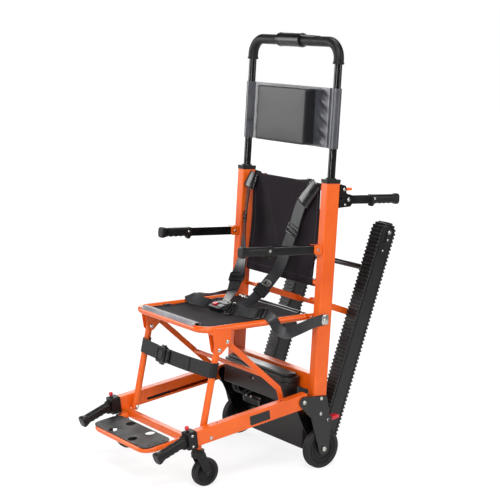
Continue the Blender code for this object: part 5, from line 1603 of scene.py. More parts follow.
@dataclass
class RearWheels(Assembly):
    """Wheel brackets, rear wheels and brake levers."""

    x: float = 0.258
    radius: float = 0.075
    width: float = 0.03
    brake: Flat = (0.012, 0.182)
    rail_pivot: Flat = RAIL_PIVOT
    corner: Flat = (-0.012, 0.264)
    inside: float = 0.2377
    outside: float = 0.2763

    def build(self) -> None:
        """Makes both sides."""
        for name, s in SIDES.items():
            self.bracket(name, s)
            self.wheel(name, s)
            self.lever(name, s)

    def bracket(self, name: str, s: int) -> None:
        """Two pressed plates with a step between the upright and the wheel, and their bolts.

        Args:
            name: The side's name.
            s: The side's sign.
        """
        inside, outside, axle = self.inside, self.outside, (0.0, self.radius)
        top = [(*self.rail_pivot, 0.021), (*self.corner, 0.012)]
        foot = [(*self.brake, 0.018), (*axle, 0.022)]
        # The outer plate is joggled: its head lies on the upright, its leg a little nearer the wheel.
        head = hull(top + [(0.002, 0.206, 0.012), (-0.052, 0.203, 0.016)])
        leg = hull([(-0.052, 0.2, 0.016)] + foot)
        made = [plate(head, 0.005, side(s * (outside + 0.0025)), 0.0022, (), 3),
                plate(leg, 0.003, side(s * (outside + 0.0002)), 0.001),
                plate(hull(top + foot), 0.004, side(s * (inside - 0.002)), 0.0012)]
        made += [across(s * (inside - 0.005), s * (outside + 0.005), at, r)
                 for at, r in ((axle, 0.006), (self.rail_pivot, 0.006), (self.brake, 0.004))]
        self.piece(join(*made), f"wheel_bracket_plates_{name}", "base", BLACK,
                   [f"wheel_bracket_{name}"])
        spots = [((s * (outside + d), y, z), (s, 0, 0), r)
                 for y, z, d, r in ((*self.rail_pivot, 0.005, 0.0062), (-0.029, 0.266, 0.005, 0.005),
                                    (-0.027, 0.21, 0.005, 0.005), (*self.brake, 0.0017, 0.0045),
                                    (*axle, 0.0045, 0.0072))]
        self.bolts(f"wheel_bracket_bolts_{name}", "base", spots)

    def wheel(self, name: str, s: int) -> None:
        """One wheel: a grooved tyre on a moulded core.

        Args:
            name: The side's name.
            s: The side's sign.
        """
        axis = aim((s * self.x, 0.0, self.radius), (1, 0, 0))
        r, h = self.radius, self.width / 2
        half = [(r - 0.02, h - 0.003), (r - 0.018, h - 0.0008), (r - 0.013, h),
                (r - 0.0065, h - 0.0004), (r - 0.002, h - 0.003), (r, h - 0.007), (r, 0.0022),
                (r - 0.0016, 0.0012)]
        self.piece(turned(mirrored(half), axis, 72), f"rear_tyre_{name}", f"rear_wheel_{name}", TYRE,
                   [f"rear_wheel_{name}"])
        core = wheel_core(axis, 0.0066, r - 0.0195, h - 0.0006)
        self.piece(core, f"rear_core_{name}", f"rear_wheel_{name}", PLASTIC)

    def lever(self, name: str, s: int) -> None:
        """The red brake lever with a ribbed pedal.

        Args:
            name: The side's name.
            s: The side's sign.
        """
        y, z = self.brake
        x = s * self.x
        shape = strip_outline([(y, z), (y + 0.02, z - 0.001), (y + 0.053, z + 0.006)], 0.0062)
        pedal = plate(shape, 0.024, side(x), 0.002, [circle(0.0046, self.brake)], 3)
        turn = math.atan2(0.007, 0.033)
        ribs = [block((0.02, 0.0016, 0.0012), (x, y + 0.028 + 0.006 * i, z + 0.0075 + 0.00127 * i),
                      0.0004, turn) for i in range(4)]
        self.piece(join(pedal, *ribs), f"brake_pedal_{name}", f"brake_lever_{name}", RED,
                   [f"brake_lever_{name}"])


@dataclass
class Seat(Assembly):
    """The folding seat with its cloth, hinge, legs, shin strap and brace."""

    x: float = 0.222
    pivot: Flat = SEAT_PIVOT
    tube: float = 0.0115
    depth: float = 0.46
    slope: float = math.radians(2.8)
    bend: float = 0.05
    leg_top: Flat = (-0.457611, 0.468126)
    leg_low: Flat = (-0.502591, 0.167168)
    leg: float = 0.012
    leg_past: float = 0.013
    brace_top: Flat = (-0.425611, 0.496126)
    brace_bend: Flat = (-0.182, 0.305)
    brace_low: Flat = (-0.156352, 0.237048)
    lean: float = math.radians(8.5)
    cloth_gap: float = 0.0006
    clips: Flat = (-0.395, -0.165)
    strip_half: float = 0.172
    hem: float = 0.0046
    seam: float = 0.92
    clip_x: float = 0.2065
    strap_half: float = 0.026
    strap_drop: float = 0.07
    strap_sag: float = 0.01
    strap_round: float = 0.0146
    cross_y: float = -0.25

    def build(self) -> None:
        """Makes the seat and what folds with it."""
        self.loop()
        self.cloth()
        self.hinge()
        self.legs()
        self.shin_strap()
        self.brace()

    def rise(self, y: float) -> float:
        """Height of the seat tube's middle line."""
        return self.pivot[1] + (y - self.pivot[0]) * math.tan(self.slope)

    def loop(self) -> None:
        """The bent tube with its hinge eyes and the gussets for the legs and the brace."""
        front, rear = self.pivot[0] - self.depth, self.pivot[0] - 2 * self.tube
        x = self.x
        corners = [(u, y, self.rise(y)) for u, y in ((-x, rear), (-x, front), (x, front), (x, rear))]
        made = [tube(fillet(corners, self.bend, 14), self.tube, 32)]
        web_y = self.leg_top[0] + 0.007
        web = self.rise(web_y) - self.tube + 0.003
        shape = hull([(*self.leg_top, 0.017), (*self.brace_top, 0.014),
                      (web_y - 0.034, web - 0.005, 0.004), (web_y + 0.034, web - 0.005, 0.004)])
        eye = (self.pivot[0] - 0.045, self.rise(self.pivot[0] - 0.045))
        spots = []
        for s in SIGNS:
            made.append(plate(strip_outline([self.pivot, eye], self.tube - 0.001), 0.005, side(s * x),
                              0.001, [circle(0.0057, self.pivot)]))
            made.append(block((0.0294, 0.079, 0.016), (s * x, web_y, web), 0.0015, self.slope))
            made += [plate(shape, 0.003, side(s * x + e * 0.014), 0.0008) for e in (-1, 1)]
            made += [across(s * x - 0.016, s * x + 0.016, at, 0.004)
                     for at in (self.leg_top, self.brace_top)]
            spots += [((s * x + e * 0.0155, *at), (e, 0, 0), 0.006) for e in (-1, 1)
                      for at in (self.leg_top, self.brace_top)]
        self.piece(join(*made), "seat_loop", "seat", ORANGE, ["seat_frame"])
        self.bolts("seat_bolts", "seat", spots)

    def cloth_point(self, u: float, v: float) -> Vector:
        """A point of the seat cloth.

        Args:
            u: Place across, from -1 to 1.
            v: Place along, from 0 at the front to 1 at the rear.

        Returns:
            The point.
        """
        front, rear = self.pivot[0] - self.depth + self.tube + self.cloth_gap, self.pivot[0] - 0.0116
        y = front + (rear - front) * v
        bend = self.bend - self.tube - self.cloth_gap
        depth = min(max(0.0, self.pivot[0] - self.depth + self.bend - y), bend)
        half = self.x - self.tube - self.cloth_gap
        x = u * (half - bend + math.sqrt(bend ** 2 - depth ** 2))
        hang = 0.006 * (1 - (x / half) ** 2) * math.sin(math.pi * v)
        ripple = (0.001 * math.sin(9 * u + 5 * v)
                  + 0.0018 * u ** 4 * math.sin(21 * v + 2 * u)) * math.sin(math.pi * v)
        lift = 0.013 * max(0.0, 1 - v / 0.22) ** 2 * max(0.0, 1 - (x / 0.192) ** 6)
        return Vector((x, y, self.rise(y) - hang + ripple + lift))

    def cloth(self) -> None:
        """The seat cloth with sewn hems, its grey front strip and the strip's screws."""
        columns = [i / 22 - 1 for i in range(45)]
        panel = sheet([[self.cloth_point(u, i / 46) for u in columns] for i in range(47)], 0.003)
        lift = Vector((0, 0, 0.0004))
        edges, ways = (0.93, 0.96, 0.985), [0.13 + 0.85 * i / 40 for i in range(41)]
        hems = [sheet([[self.cloth_point(s * u, v) + lift for u in edges] for v in ways], self.hem)
                for s in SIGNS]
        edges = (0.94, 0.965, 0.985)
        hems.append(sheet([[self.cloth_point(u * 0.96, v) + lift for u in columns] for v in edges],
                          self.hem))
        cloth = self.piece(join(panel, *hems), "seat_cloth", "seat", CLOTH, ["seat_panel"])
        above = Vector((0, 0, 0.0027))
        lines = [[self.cloth_point(s * self.seam, 0.14 + 0.8 * i / 30) + above for i in range(31)]
                 for s in SIGNS]
        lines.append([self.cloth_point(self.seam * u, 0.935) + above for u in columns])
        self.stitches("seat_stitches", "seat", lines)
        clips = [block((0.012, 0.026, 0.0042), (s * self.clip_x, at, self.rise(at) + 0.0036), 0.0012,
                       self.slope) for s in SIGNS for at in self.clips]
        self.piece(join(*clips), "seat_clips", "seat", GLOSS)
        self.bolts("clip_rivets", "seat",
                   [((s * (self.clip_x - 0.0005), at, self.rise(at) + 0.0054), (0, 0, 1), 0.0026)
                    for s in SIGNS for at in self.clips])
        # The strip stands on the front tube, with its face to the front and its lip over the cloth.
        y = self.pivot[0] - self.depth
        z = self.rise(y)
        low = arc((y, z), self.tube + 0.0014, 140, 112, 3)
        shell = low + [(y - 0.001, z + 0.016), (y + 0.005, z + 0.0184), (y + 0.015, z + 0.0186),
                       (y + 0.0215, z + 0.0166), (y + 0.0235, z + 0.011)]
        strip = sheet([[(u, *p) for u in (-self.strip_half, -0.085, 0.0, 0.085, self.strip_half)]
                       for p in shell], 0.0022)
        self.piece(soften(strip, 0.0008), "front_strip", "seat", STRIP, ["seat_front_strip"])
        tilt = Vector((0, -0.75, 0.66))
        self.bolts("strip_screws", "seat",
                   [((u, y - 0.0024, z + 0.0156), tilt, 0.0032) for u in (-0.162, 0.162)])

    def hinge(self) -> None:
        """The hinge bar, and the latch pins with their collars and springs."""
        bar = turned(mirrored([(0.0057, 0.165), (0.01, 0.165), (0.011, 0.164)]),
                     aim((0, *self.pivot), (1, 0, 0)), 32)
        self.piece(bar, "hinge_tube", "seat", BLACK, ["seat_hinge_bar"])
        for name, s in SIDES.items():
            pin = across(s * 0.14, s * 0.2376, self.pivot, 0.005)
            ring = turned([(0.0045, 0), (0.0098, 0), (0.0102, 0.001), (0.0102, 0.009), (0.0098, 0.01),
                           (0.0045, 0.01)], aim((s * 0.18, *self.pivot), (s, 0, 0)), 28)
            coil = [(s * (0.192 + 0.022 * i / 120), self.pivot[0] + 0.0068 * math.cos(0.45 * i),
                     self.pivot[1] + 0.0068 * math.sin(0.45 * i)) for i in range(121)]
            self.piece(join(pin, ring, tube(coil, 0.0009, 8)), f"latch_{name}", f"seat_latch_{name}",
                       STEEL, [f"seat_latch_pin_{name}"])

    def leg_up(self) -> Vector:
        """The way up along the legs."""
        return Vector((0, math.sin(self.lean), math.cos(self.lean)))

    def legs(self) -> None:
        """The front legs: round bars with chamfered ends."""
        up = self.leg_up()
        for name, s in SIDES.items():
            high = Vector((s * self.x, *self.leg_top)) + up * self.leg_past
            low = Vector((s * self.x, *self.leg_low)) - up * self.leg_past
            leg = rod(low, high, self.leg, 32, 0.002)
            self.piece(leg, f"front_leg_{name}", "legs", ORANGE, [f"leg_{name}"])

    def shin_strap(self) -> None:
        """The shin strap: webbing looped round both legs, with a side-release buckle."""
        up = self.leg_up()
        middle = Vector((0, *self.leg_top)) - up * self.strap_drop
        out = Vector((0, -math.cos(self.lean), math.sin(self.lean)))
        r, slack = self.strap_round, 0.0035
        line = [(self.x + u, v) for u, v in arc((0, 0), r, -178, 90, 20)]
        line += [(self.x - 2 * self.x * i / 40, r + slack * math.sin(math.pi * i / 40))
                 for i in range(1, 40)]
        line += [(-self.x + u, v) for u, v in arc((0, 0), r, 90, 358, 20)]
        rows, half = [], self.strap_half
        for i, (u, v) in enumerate(line):
            sag = self.strap_sag * math.sin(math.pi * i / (len(line) - 1)) ** 2
            rows.append([middle + Vector((u, 0, 0)) + out * v + up * (h - sag)
                         for h in (-half, -half / 2, 0.0, half / 2, half)])
        band = self.dress(sheet(rows, 0.0022), NYLON)
        rows = []
        for u in (-0.03 + 0.13 * i / 20 for i in range(21)):
            off = out * (r + slack + 0.0022 * math.cos(12 * (u - 0.02)))
            rows.append([middle + Vector((u, 0, 0)) + off + up * (h - self.strap_sag)
                         for h in (-0.025, 0.0, 0.025)])
        flap = self.dress(sheet(rows, 0.002), NYLON)
        place = axes((1, 0, 0), up, middle + out * (r + 0.008) - up * self.strap_sag)
        wide = rounded(0.005, 0.042, 0.002, (-0.092, 0))
        narrow = rounded(0.004, 0.036, 0.0015, (-0.028, 0))
        body = plate(rounded(0.054, 0.06, 0.009, (-0.073, 0)), 0.017, place, 0.0046, [wide], 4)
        face = plate(rounded(0.026, 0.03, 0.006, (-0.07, 0)), 0.003, place @ plan(0, 0, 0.0088), 0.0012,
                     (), 3)
        plug = plate(rounded(0.026, 0.048, 0.006, (-0.035, 0)), 0.008, place, 0.0024, [narrow], 3)
        arms = [plate(rounded(0.024, 0.011, 0.0045, (-0.066, e * 0.0305)), 0.011, place, 0.003, (), 3)
                for e in (-1, 1)]
        self.dress(face, PLASTIC)
        for moulded in (body, plug, *arms):
            self.dress(moulded, GLOSS)
        made = join(band, flap, body, face, plug, *arms)
        self.piece(made, "shin_strap", "legs", NYLON, ["leg_strap"], dressed=True)

    def brace(self) -> None:
        """The folding brace: bent flat bars with splice plates, a cross bar and sliding feet."""
        made, spots = [], []
        share = (self.cross_y - self.brace_top[0]) / (self.brace_bend[0] - self.brace_top[0])
        bar = (self.cross_y, self.brace_top[1] + share * (self.brace_bend[1] - self.brace_top[1]))
        for s in SIGNS:
            line = [self.brace_top, self.brace_bend, self.brace_low]
            made.append(plate(strip_outline(line, 0.01), 0.006, side(s * self.x), 0.0012,
                              [circle(0.0046, self.brace_top)]))
            made.append(across(s * self.x, s * 0.2385, self.brace_low, 0.005))
            # A splice plate bridges the joint of the bar's two lengths.
            splice = [tuple(a + k * (b - a) for a, b in zip(self.brace_top, self.brace_bend))
                      for k in (0.28, 0.33, 0.38)]
            made.append(plate(strip_outline(splice, 0.0104), 0.0072, side(s * self.x), 0.001))
            spots.append(((s * self.x - s * 0.003, *self.brace_low), (-s, 0, 0), 0.005))
        made.append(across(-self.x, self.x, bar, 0.008, 28))
        self.piece(join(*made), "brace_bars", "seat_brace", ORANGE, ["seat_brace"])
        self.bolts("brace_bolts", "seat_brace", spots)


@dataclass
class Tracks(Assembly):
    """The stair tracks: beams, ribbed belts, pulleys and the link that props them."""

    pivot: Flat = SHAFT
    lean: float = math.radians(16.35)
    centres: float = 0.776
    x: float = 0.203
    belt_width: float = 0.056
    belt_in: float = 0.0276
    belt: float = 0.0049
    rib: float = 0.0055
    pitch: float = 0.0145
    link_pivot: Flat = LINK_PIVOT
    link_at: float = 0.4533
    link_x: float = 0.165
    beam_radius: float = 0.0255
    beam_flat: float = 0.01
    beam_width: float = 0.052
    cover_radius: float = 0.0248
    cover_off: float = 0.0262
    pocket_half: float = 0.0191
    pocket_radius: float = 0.03
    tie: Flat = (0.63, 0.005)
    tie_half: float = 0.178

    def build(self) -> None:
        """Makes both tracks and what joins them."""
        self.beams()
        for name, s in SIDES.items():
            self.ribbed_belt(name, s)
            self.idler(name, s)
        self.shaft()
        self.link()

    def drawn(self, x: float) -> Matrix:
        """The tracks' side view, drawn as (behind, up), at one distance across the chair."""
        return axes((0, math.cos(self.lean), -math.sin(self.lean)),
                    (0, math.sin(self.lean), math.cos(self.lean)), (x, *self.pivot))

    def at(self, along: float, behind: float = 0.0) -> Flat:
        """A point of the tracks' side view, along them from the shaft and behind their middle line."""
        cos, sin = math.cos(self.lean), math.sin(self.lean)
        return (self.pivot[0] + along * sin + behind * cos, self.pivot[1] + along * cos - behind * sin)

    def beams(self) -> None:
        """The black beams with their recessed side covers, screws and cross tube."""
        made, covers, spots = [], [], []
        r, edge = self.beam_radius, math.degrees(math.acos(-self.beam_flat / self.beam_radius))
        outline = arc((0, 0), r, edge, 360, 24) + arc((0, self.centres), r, 0, 360 - edge, 24)
        ends = ((0.001, 0), 180, 360), ((0.001, self.centres), 0, 180)
        shape = [p for centre, start, end in ends
                 for p in arc(centre, self.cover_radius, start, end, 20)]
        for s in SIGNS:
            beam = plate(outline, self.beam_width, self.drawn(s * self.x), 0.0012,
                         [circle(0.0086), circle(0.0056, (0, self.centres))])
            x, deep = s * self.x, self.pocket_half
            pockets = [across(x - deep, x + deep, at, self.pocket_radius, 40)
                       for at in (self.pivot, self.at(self.centres))]
            made.append(cut(beam, *pockets))
            for e in (-1, 1):
                x = s * self.x + e * self.cover_off
                cover = plate(shape, 0.0022, self.drawn(x), 0.0008)
                slot = plate(rounded(0.011, 0.042, 0.004, (-0.006, self.centres - 0.02)), 0.008,
                             self.drawn(x), 0.0)
                covers.append(cut(cover, slot))
                spots += [((x + e * 0.001, *self.at(a, b)), (e, 0, 0), r)
                          for a, b, r in ((self.centres + 0.002, 0.008, 0.0062),
                                          (self.centres - 0.026, 0.01, 0.004),
                                          (self.centres - 0.07, 0.0, 0.0032), (0.0, 0.0, 0.007))]
        made.append(across(-self.tie_half, self.tie_half, self.at(*self.tie), 0.011, 28))
        self.piece(join(*made), "track_beams", "tracks", BLACK, ["track_frame"])
        self.piece(join(*covers), "track_covers", "tracks", COVER)
        self.bolts("track_screws", "tracks", spots)

    def ribbed_belt(self, name: str, s: int) -> None:
        """One ribbed belt: its side outline with round-topped ribs, extruded and hollowed.

        Args:
            name: The side's name.
            s: The side's sign.
        """
        base, length = self.belt_in + self.belt, self.centres
        turn = math.pi * base
        around = 2 * (length + turn)
        count = round(around / self.pitch)

        def spot(way: float, height: float) -> Flat:
            """A point of the belt's loop.

            Args:
                way: How far round the loop.
                height: How far out of the belt's outer side.

            Returns:
                The point.
            """
            way %= around
            r = base + height
            if way < length:
                return (r, way)
            if way < length + turn:
                a = (way - length) / base
                return (r * math.cos(a), length + r * math.sin(a))
            if way < 2 * length + turn:
                return (-r, 2 * length + turn - way)
            a = (way - 2 * length - turn) / base
            return (-r * math.cos(a), -r * math.sin(a))

        half = [(0.0062, 0.0), (0.0045, 0.0007), (0.0034, 0.0044), (0.0022, self.rib)]
        rib = [(-u, h) for u, h in half] + half[::-1]
        ways = [(k + 0.5) * around / count for k in range(count)]
        outline = [spot(way + u, h) for way in ways for u, h in rib]
        inner = arc((0, 0), self.belt_in, 180, 360, 30) + arc((0, length), self.belt_in, 0, 180, 30)
        belt = plate(outline, self.belt_width, self.drawn(s * self.x), 0.0, [inner])
        self.piece(belt, f"ribbed_belt_{name}", "tracks", RUBBER, [f"track_belt_{name}"])

    def idler(self, name: str, s: int) -> None:
        """The top pulley, with flanges, a crowned rim and its axle.

        Args:
            name: The side's name.
            s: The side's sign.
        """
        top = self.at(self.centres)
        half = [(0, 0.027), (0.0045, 0.027), (0.005, 0.0265), (0.005, 0.0185), (0.0262, 0.0185),
                (0.027, 0.0177), (0.027, 0.015), (0.0255, 0.0142)]
        wheel = turned(mirrored(half), aim((s * self.x, *top), (1, 0, 0)), 40)
        self.piece(wheel, f"idler_{name}", f"track_idler_{name}", PLASTIC, [f"track_idler_{name}"])

    def shaft(self) -> None:
        """The drive shaft with its toothed pulleys."""
        made = [across(-0.23, 0.23, self.pivot, 0.008, 32)]
        teeth: list[Flat] = []
        for a in range(0, 360, 15):
            teeth += arc((0, 0), 0.027, a, a + 7, 2) + arc((0, 0), 0.0248, a + 8.5, a + 13.5, 1)
        for s in SIGNS:
            made.append(plate(teeth, 0.037, side(s * self.x) @ plan(*self.pivot, 0), 0.0))
        self.piece(join(*made), "toothed_shaft", "drive_shaft", STEEL, ["drive_shaft"])

    def link(self) -> None:
        """The orange link: two flat arms on the uprights' stubs and a tube between the tracks."""
        low = self.at(self.link_at)
        middle = tuple((a + b) / 2 for a, b in zip(self.link_pivot, low))
        shape = strip_outline([self.link_pivot, middle, low], 0.012)
        hole = circle(0.0076, self.link_pivot)
        arms = [plate(shape, 0.006, side(s * self.link_x), 0.0012, [hole]) for s in SIGNS]
        bar = across(-0.1747, 0.1747, low, 0.009, 28)
        rings = [turned([(0.008, 0), (0.0118, 0), (0.0122, 0.0006), (0.0122, 0.003), (0.008, 0.003)],
                        aim((s * 0.1618, *low), (-s, 0, 0)), 24) for s in SIGNS]
        self.piece(join(*arms, bar, *rings), "prop_link", "track_link", ORANGE, ["track_link"])


@dataclass
class Drive(Assembly):
    """The battery box on the base beam and the gear housing round the shaft."""

    width: float = 0.4
    depth: float = 0.0815
    low: float = 0.24
    high: float = 0.332
    shaft: Flat = SHAFT
    back: float = -0.0553
    socket: Flat = (-0.01, 0.29)
    screw_x: float = 0.006
    motor: Flat = (-0.034, 0.178)
    motor_radius: float = 0.0318
    motor_ends: Flat = (-0.15, -0.04)
    rim: float = 0.02
    parting: float = 0.0008
    half: float = 0.165

    def build(self) -> None:
        """Makes the box and the housing."""
        self.battery()
        self.housing()

    def battery(self) -> None:
        """The battery box: case, parting line, lid, charging socket and its screw."""
        y = self.back - self.depth / 2
        split = self.high - self.rim
        top = split - self.parting
        plan_line = rounded(self.width, self.depth, 0.03, steps=12)
        case = plate(plan_line, top - self.low, plan(0, y, (top + self.low) / 2), 0.003, (), 3)
        core = plate(rounded(self.width - 0.005, self.depth - 0.005, 0.028, steps=12), 0.03,
                     plan(0, y, split), 0.0)
        rim = plate(plan_line, self.high - split, plan(0, y, (split + self.high) / 2), 0.0034, (), 3)
        lid = plate(rounded(self.width - 0.024, self.depth - 0.024, 0.018, steps=12), 0.014,
                    plan(0, y, self.high + 0.004), 0.005, (), 4)
        self.piece(join(case, core, rim, lid), "battery_case", "base", COVER, ["battery_box"])
        front = y - self.depth / 2
        socket = turned([(0, 0), (0.0105, 0), (0.0105, 0.0015), (0.0095, 0.0022), (0.0078, 0.0022),
                         (0.0074, 0.0006), (0, 0.0006)],
                        aim((self.socket[0], front + 0.0004, self.socket[1]), (0, -1, 0)), 28)
        self.piece(socket, "charging_socket", "base", GLOSS)
        self.bolts("battery_screws", "base",
                   [((self.screw_x, front + 0.0002, self.socket[1]), (0, -1, 0), 0.0036)])

    def housing(self) -> None:
        """The gear housing with its side covers, screws and cables, and the motor with its fins."""
        y, z = self.shaft
        front, top, neck = y - 0.072, 0.2897, -0.052
        outline = [(front, 0.045), (y + 0.025, 0.045), (y + 0.052, z - 0.035), (y + 0.052, z + 0.04),
                   (y, z + 0.115), (-0.015, top), (neck, top), (neck, top - 0.027), (front, z + 0.095)]
        body = plate(outline, 2 * self.half, side(0.0), 0.006, (), 4)
        middle = (y - 0.008, 0.14)

        def drawn_in(share: float, points: Sequence[Flat]) -> list[Flat]:
            """Points of the outline, drawn in towards its middle."""
            return [(middle[0] + share * (u - middle[0]), middle[1] + share * (v - middle[1]))
                    for u, v in points]

        lids = [plate(drawn_in(0.8, outline), 0.003, side(e * (self.half + 0.0005)), 0.0012)
                for e in (-1, 1)]
        bosses = [turned([(0.0088, 0), (0.022, 0), (0.022, 0.0075), (0.0205, 0.009), (0.0088, 0.009)],
                         aim((e * (self.half + 0.0002), *self.shaft), (e, 0, 0)), 36) for e in (-1, 1)]
        self.piece(join(body, *lids, *bosses), "gear_case", "base", COVER, ["drive_housing"])
        low = self.low
        cables = []
        for u, r in ((-0.196, 0.0034), (-0.186, 0.0026), (-0.165, 0.0034)):
            way = [(u, -0.08, low + 0.004), (u - 0.002, -0.082, low - 0.018),
                   (u + 0.01, -0.08, low - 0.042), (u + 0.034, -0.072, low - 0.048),
                   (u + 0.052, -0.058, low - 0.036), (u + 0.056, -0.044, low - 0.03)]
            cables.append(tube(smooth(way, 8), r, 10))
        self.piece(join(*cables), "drive_cables", "base", RUBBER)
        self.bolts("motor_terminals", "base",
                   [((u, -0.0665, 0.19), (0, -1, 0.2), 0.0042) for u in (-0.128, -0.096)])
        motor = [across(*self.motor_ends, self.motor, self.motor_radius, 44)]
        motor += [turned([(0.03, 0), (0.033, 0), (0.033, 0.002), (0.03, 0.002)],
                         aim((-0.14 + 0.006 * i, *self.motor), (1, 0, 0)), 44) for i in range(15)]
        self.piece(join(*motor), "drive_motor", "base", BLACK)
        spots = [((e * (self.half + 0.0018), *p), (e, 0, 0), 0.0038) for e in (-1, 1)
                 for p in drawn_in(0.66, outline[:5] + outline[8:])]
        self.bolts("gear_case_screws", "base", spots)


@dataclass
class Harness(Assembly):
    """Shoulder straps and lap belts with their fittings, and the buckle that they meet in."""

    buckle: Flat = (-0.035, -0.275)
    size: Point = (0.078, 0.056, 0.018)
    middle: float = field(init=False)
    strap: float = 0.05
    lap_width: float = 0.04
    webbing: float = 0.002
    slide_length: float = 0.04
    tilt: float = math.radians(16)
    ring_tilt: float = math.radians(35)

    def __post_init__(self) -> None:
        """Takes the buckle's height from the frame."""
        self.middle = sum(corner.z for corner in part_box("harness_buckle")) / 2

    def build(self) -> None:
        """Makes the buckle, the shoulder straps and the lap belts."""
        self.body()
        near = [(0.186, -0.036, 1.034), (0.158, -0.044, 0.998), (0.12, -0.05, 0.945),
                (0.092, -0.056, 0.855), (0.064, -0.064, 0.776), (0.053, -0.086, 0.705),
                (0.06, -0.13, 0.66), (0.048, -0.17, 0.612), (0.026, -0.204, 0.58),
                (-0.006, -0.236, 0.569)]
        near_looks = [(0.1, -1, 0), (0.1, -1, 0.05), (0.1, -1, 0.08), (0.1, -1, 0.08), (0.15, -1, 0.05),
                      (0.3, -0.9, 0.3), (0.3, -0.8, 0.5), (0.3, -0.75, 0.6), (0.25, -0.65, 0.7),
                      (0.1, -0.4, 0.9)]
        far = [(-0.194, -0.036, 1.034), (-0.201, -0.044, 1.005), (-0.208, -0.051, 0.965),
               (-0.211, -0.056, 0.868), (-0.205, -0.064, 0.77), (-0.184, -0.082, 0.7),
               (-0.172, -0.108, 0.64), (-0.135, -0.15, 0.6), (-0.092, -0.2, 0.58),
               (-0.058, -0.238, 0.569)]
        far_looks = [(-0.2, -1, 0), (-0.3, -0.95, 0), (-0.42, -0.9, 0), (-0.45, -0.89, 0),
                     (-0.3, -0.95, 0), (0.1, -0.98, 0.2), (0.4, -0.8, 0.45), (0.4, -0.75, 0.5),
                     (0.3, -0.65, 0.7), (0.1, -0.4, 0.9)]
        widths = [self.strap] * 7 + [0.044, 0.036, 0.028]
        self.shoulder("left", Route(near, near_looks, widths), (3, 6.6), True)
        self.shoulder("right", Route(far, far_looks, widths), (3, 6.0), False)
        near_lap = [(0.2776, -0.034, 0.556), (0.2776, -0.085, 0.548), (0.268, -0.14, 0.527),
                    (0.26, -0.19, 0.513), (0.252, -0.222, 0.53), (0.238, -0.24, 0.563),
                    (0.206, -0.25, 0.575), (0.165, -0.256, 0.568), (0.11, -0.262, 0.564),
                    (0.055, -0.268, 0.563), (0.006, -0.274, 0.561)]
        looks = [(1, 0, 0), (1, 0, 0), (1, 0, 0.15), (0.95, -0.1, 0.3), (0.9, -0.3, 0.4),
                 (0.75, -0.4, 0.6), (0.4, -0.6, 0.7), (0.3, -0.72, 0.62), (0.3, -0.72, 0.62),
                 (0.3, -0.7, 0.65), (0.2, -0.6, 0.8)]
        self.lap("left", 1, Route(near_lap, looks, [self.lap_width] * 11), (6.4, 9.4), (6.4, 8.6))
        far_lap = [(-0.2776, -0.034, 0.556), (-0.2776, -0.09, 0.552), (-0.266, -0.15, 0.548),
                   (-0.252, -0.205, 0.556), (-0.238, -0.252, 0.57), (-0.212, -0.292, 0.574),
                   (-0.175, -0.304, 0.566), (-0.13, -0.298, 0.564), (-0.1, -0.288, 0.562),
                   (-0.076, -0.28, 0.561)]
        looks = [(-1, 0, 0), (-1, 0, 0), (-1, 0, 0.2), (-0.8, -0.1, 0.6), (-0.3, -0.4, 0.87),
                 (0.2, -0.7, 0.7), (0.3, -0.75, 0.6), (0.3, -0.75, 0.6), (0.3, -0.7, 0.65),
                 (0.2, -0.6, 0.8)]
        self.lap("right", -1, Route(far_lap, looks, [self.lap_width] * 10), (), (4.6, 8.2))

    def slide(self, place: Matrix, width: float, length: float) -> Object:
        """A moulded three-bar slide.

        Args:
            place: Its place on the strap.
            width: Width across the strap.
            length: Length along the strap.

        Returns:
            The slide.
        """
        slots = [rounded(width - 0.014, 0.24 * length, 0.002, (0, e * 0.24 * length)) for e in (-1, 1)]
        frame_plate = plate(rounded(width, length, 0.006), 0.0075, place, 0.0022, slots, 3)
        bars = [plate(rounded(width - 0.004, 0.008, 0.003, (0, u * length)), 0.0045,
                      place @ plan(0, 0, 0.004), 0.0014, (), 3) for u in (-0.02, 0.42)]
        return self.dress(join(frame_plate, *bars), GLOSS)

    def guard(self, route: Route) -> Object:
        """The moulded guard over a strap's top: a flattened sleeve that widens to a rim.

        Args:
            route: The strap's way.

        Returns:
            The guard.
        """
        whole, last = route.lines()[0], 14
        line = whole[:last + 1]
        sleeve = tube(line, 0.034, 28, [0.74 + 0.28 * i / last for i in range(last + 1)])
        for vertex in sleeve.data.vertices:
            near = min(line, key=lambda p: (p - vertex.co).length)
            vertex.co.y = near.y - 0.0014 + (vertex.co.y - near.y) * 0.3
        place = route.spot(last / (len(whole) - 1), 0.001)
        turns = [2 * math.pi * i / 40 for i in range(40)]
        ring = [place @ Vector((0.0352 * math.cos(a), 0.0, 0.0112 * math.sin(a))) for a in turns]
        return self.dress(join(sleeve, tube(ring, 0.0022, 10, closed=True)), GLOSS)

    def doubled(self, rows: Sequence[Sequence[Vector]], lift: Vector) -> Object:
        """A second layer of webbing over some rows of a strap, lifted off the first."""
        return self.dress(sheet([[p + lift for p in row] for row in rows], 0.0018), WEBBING)

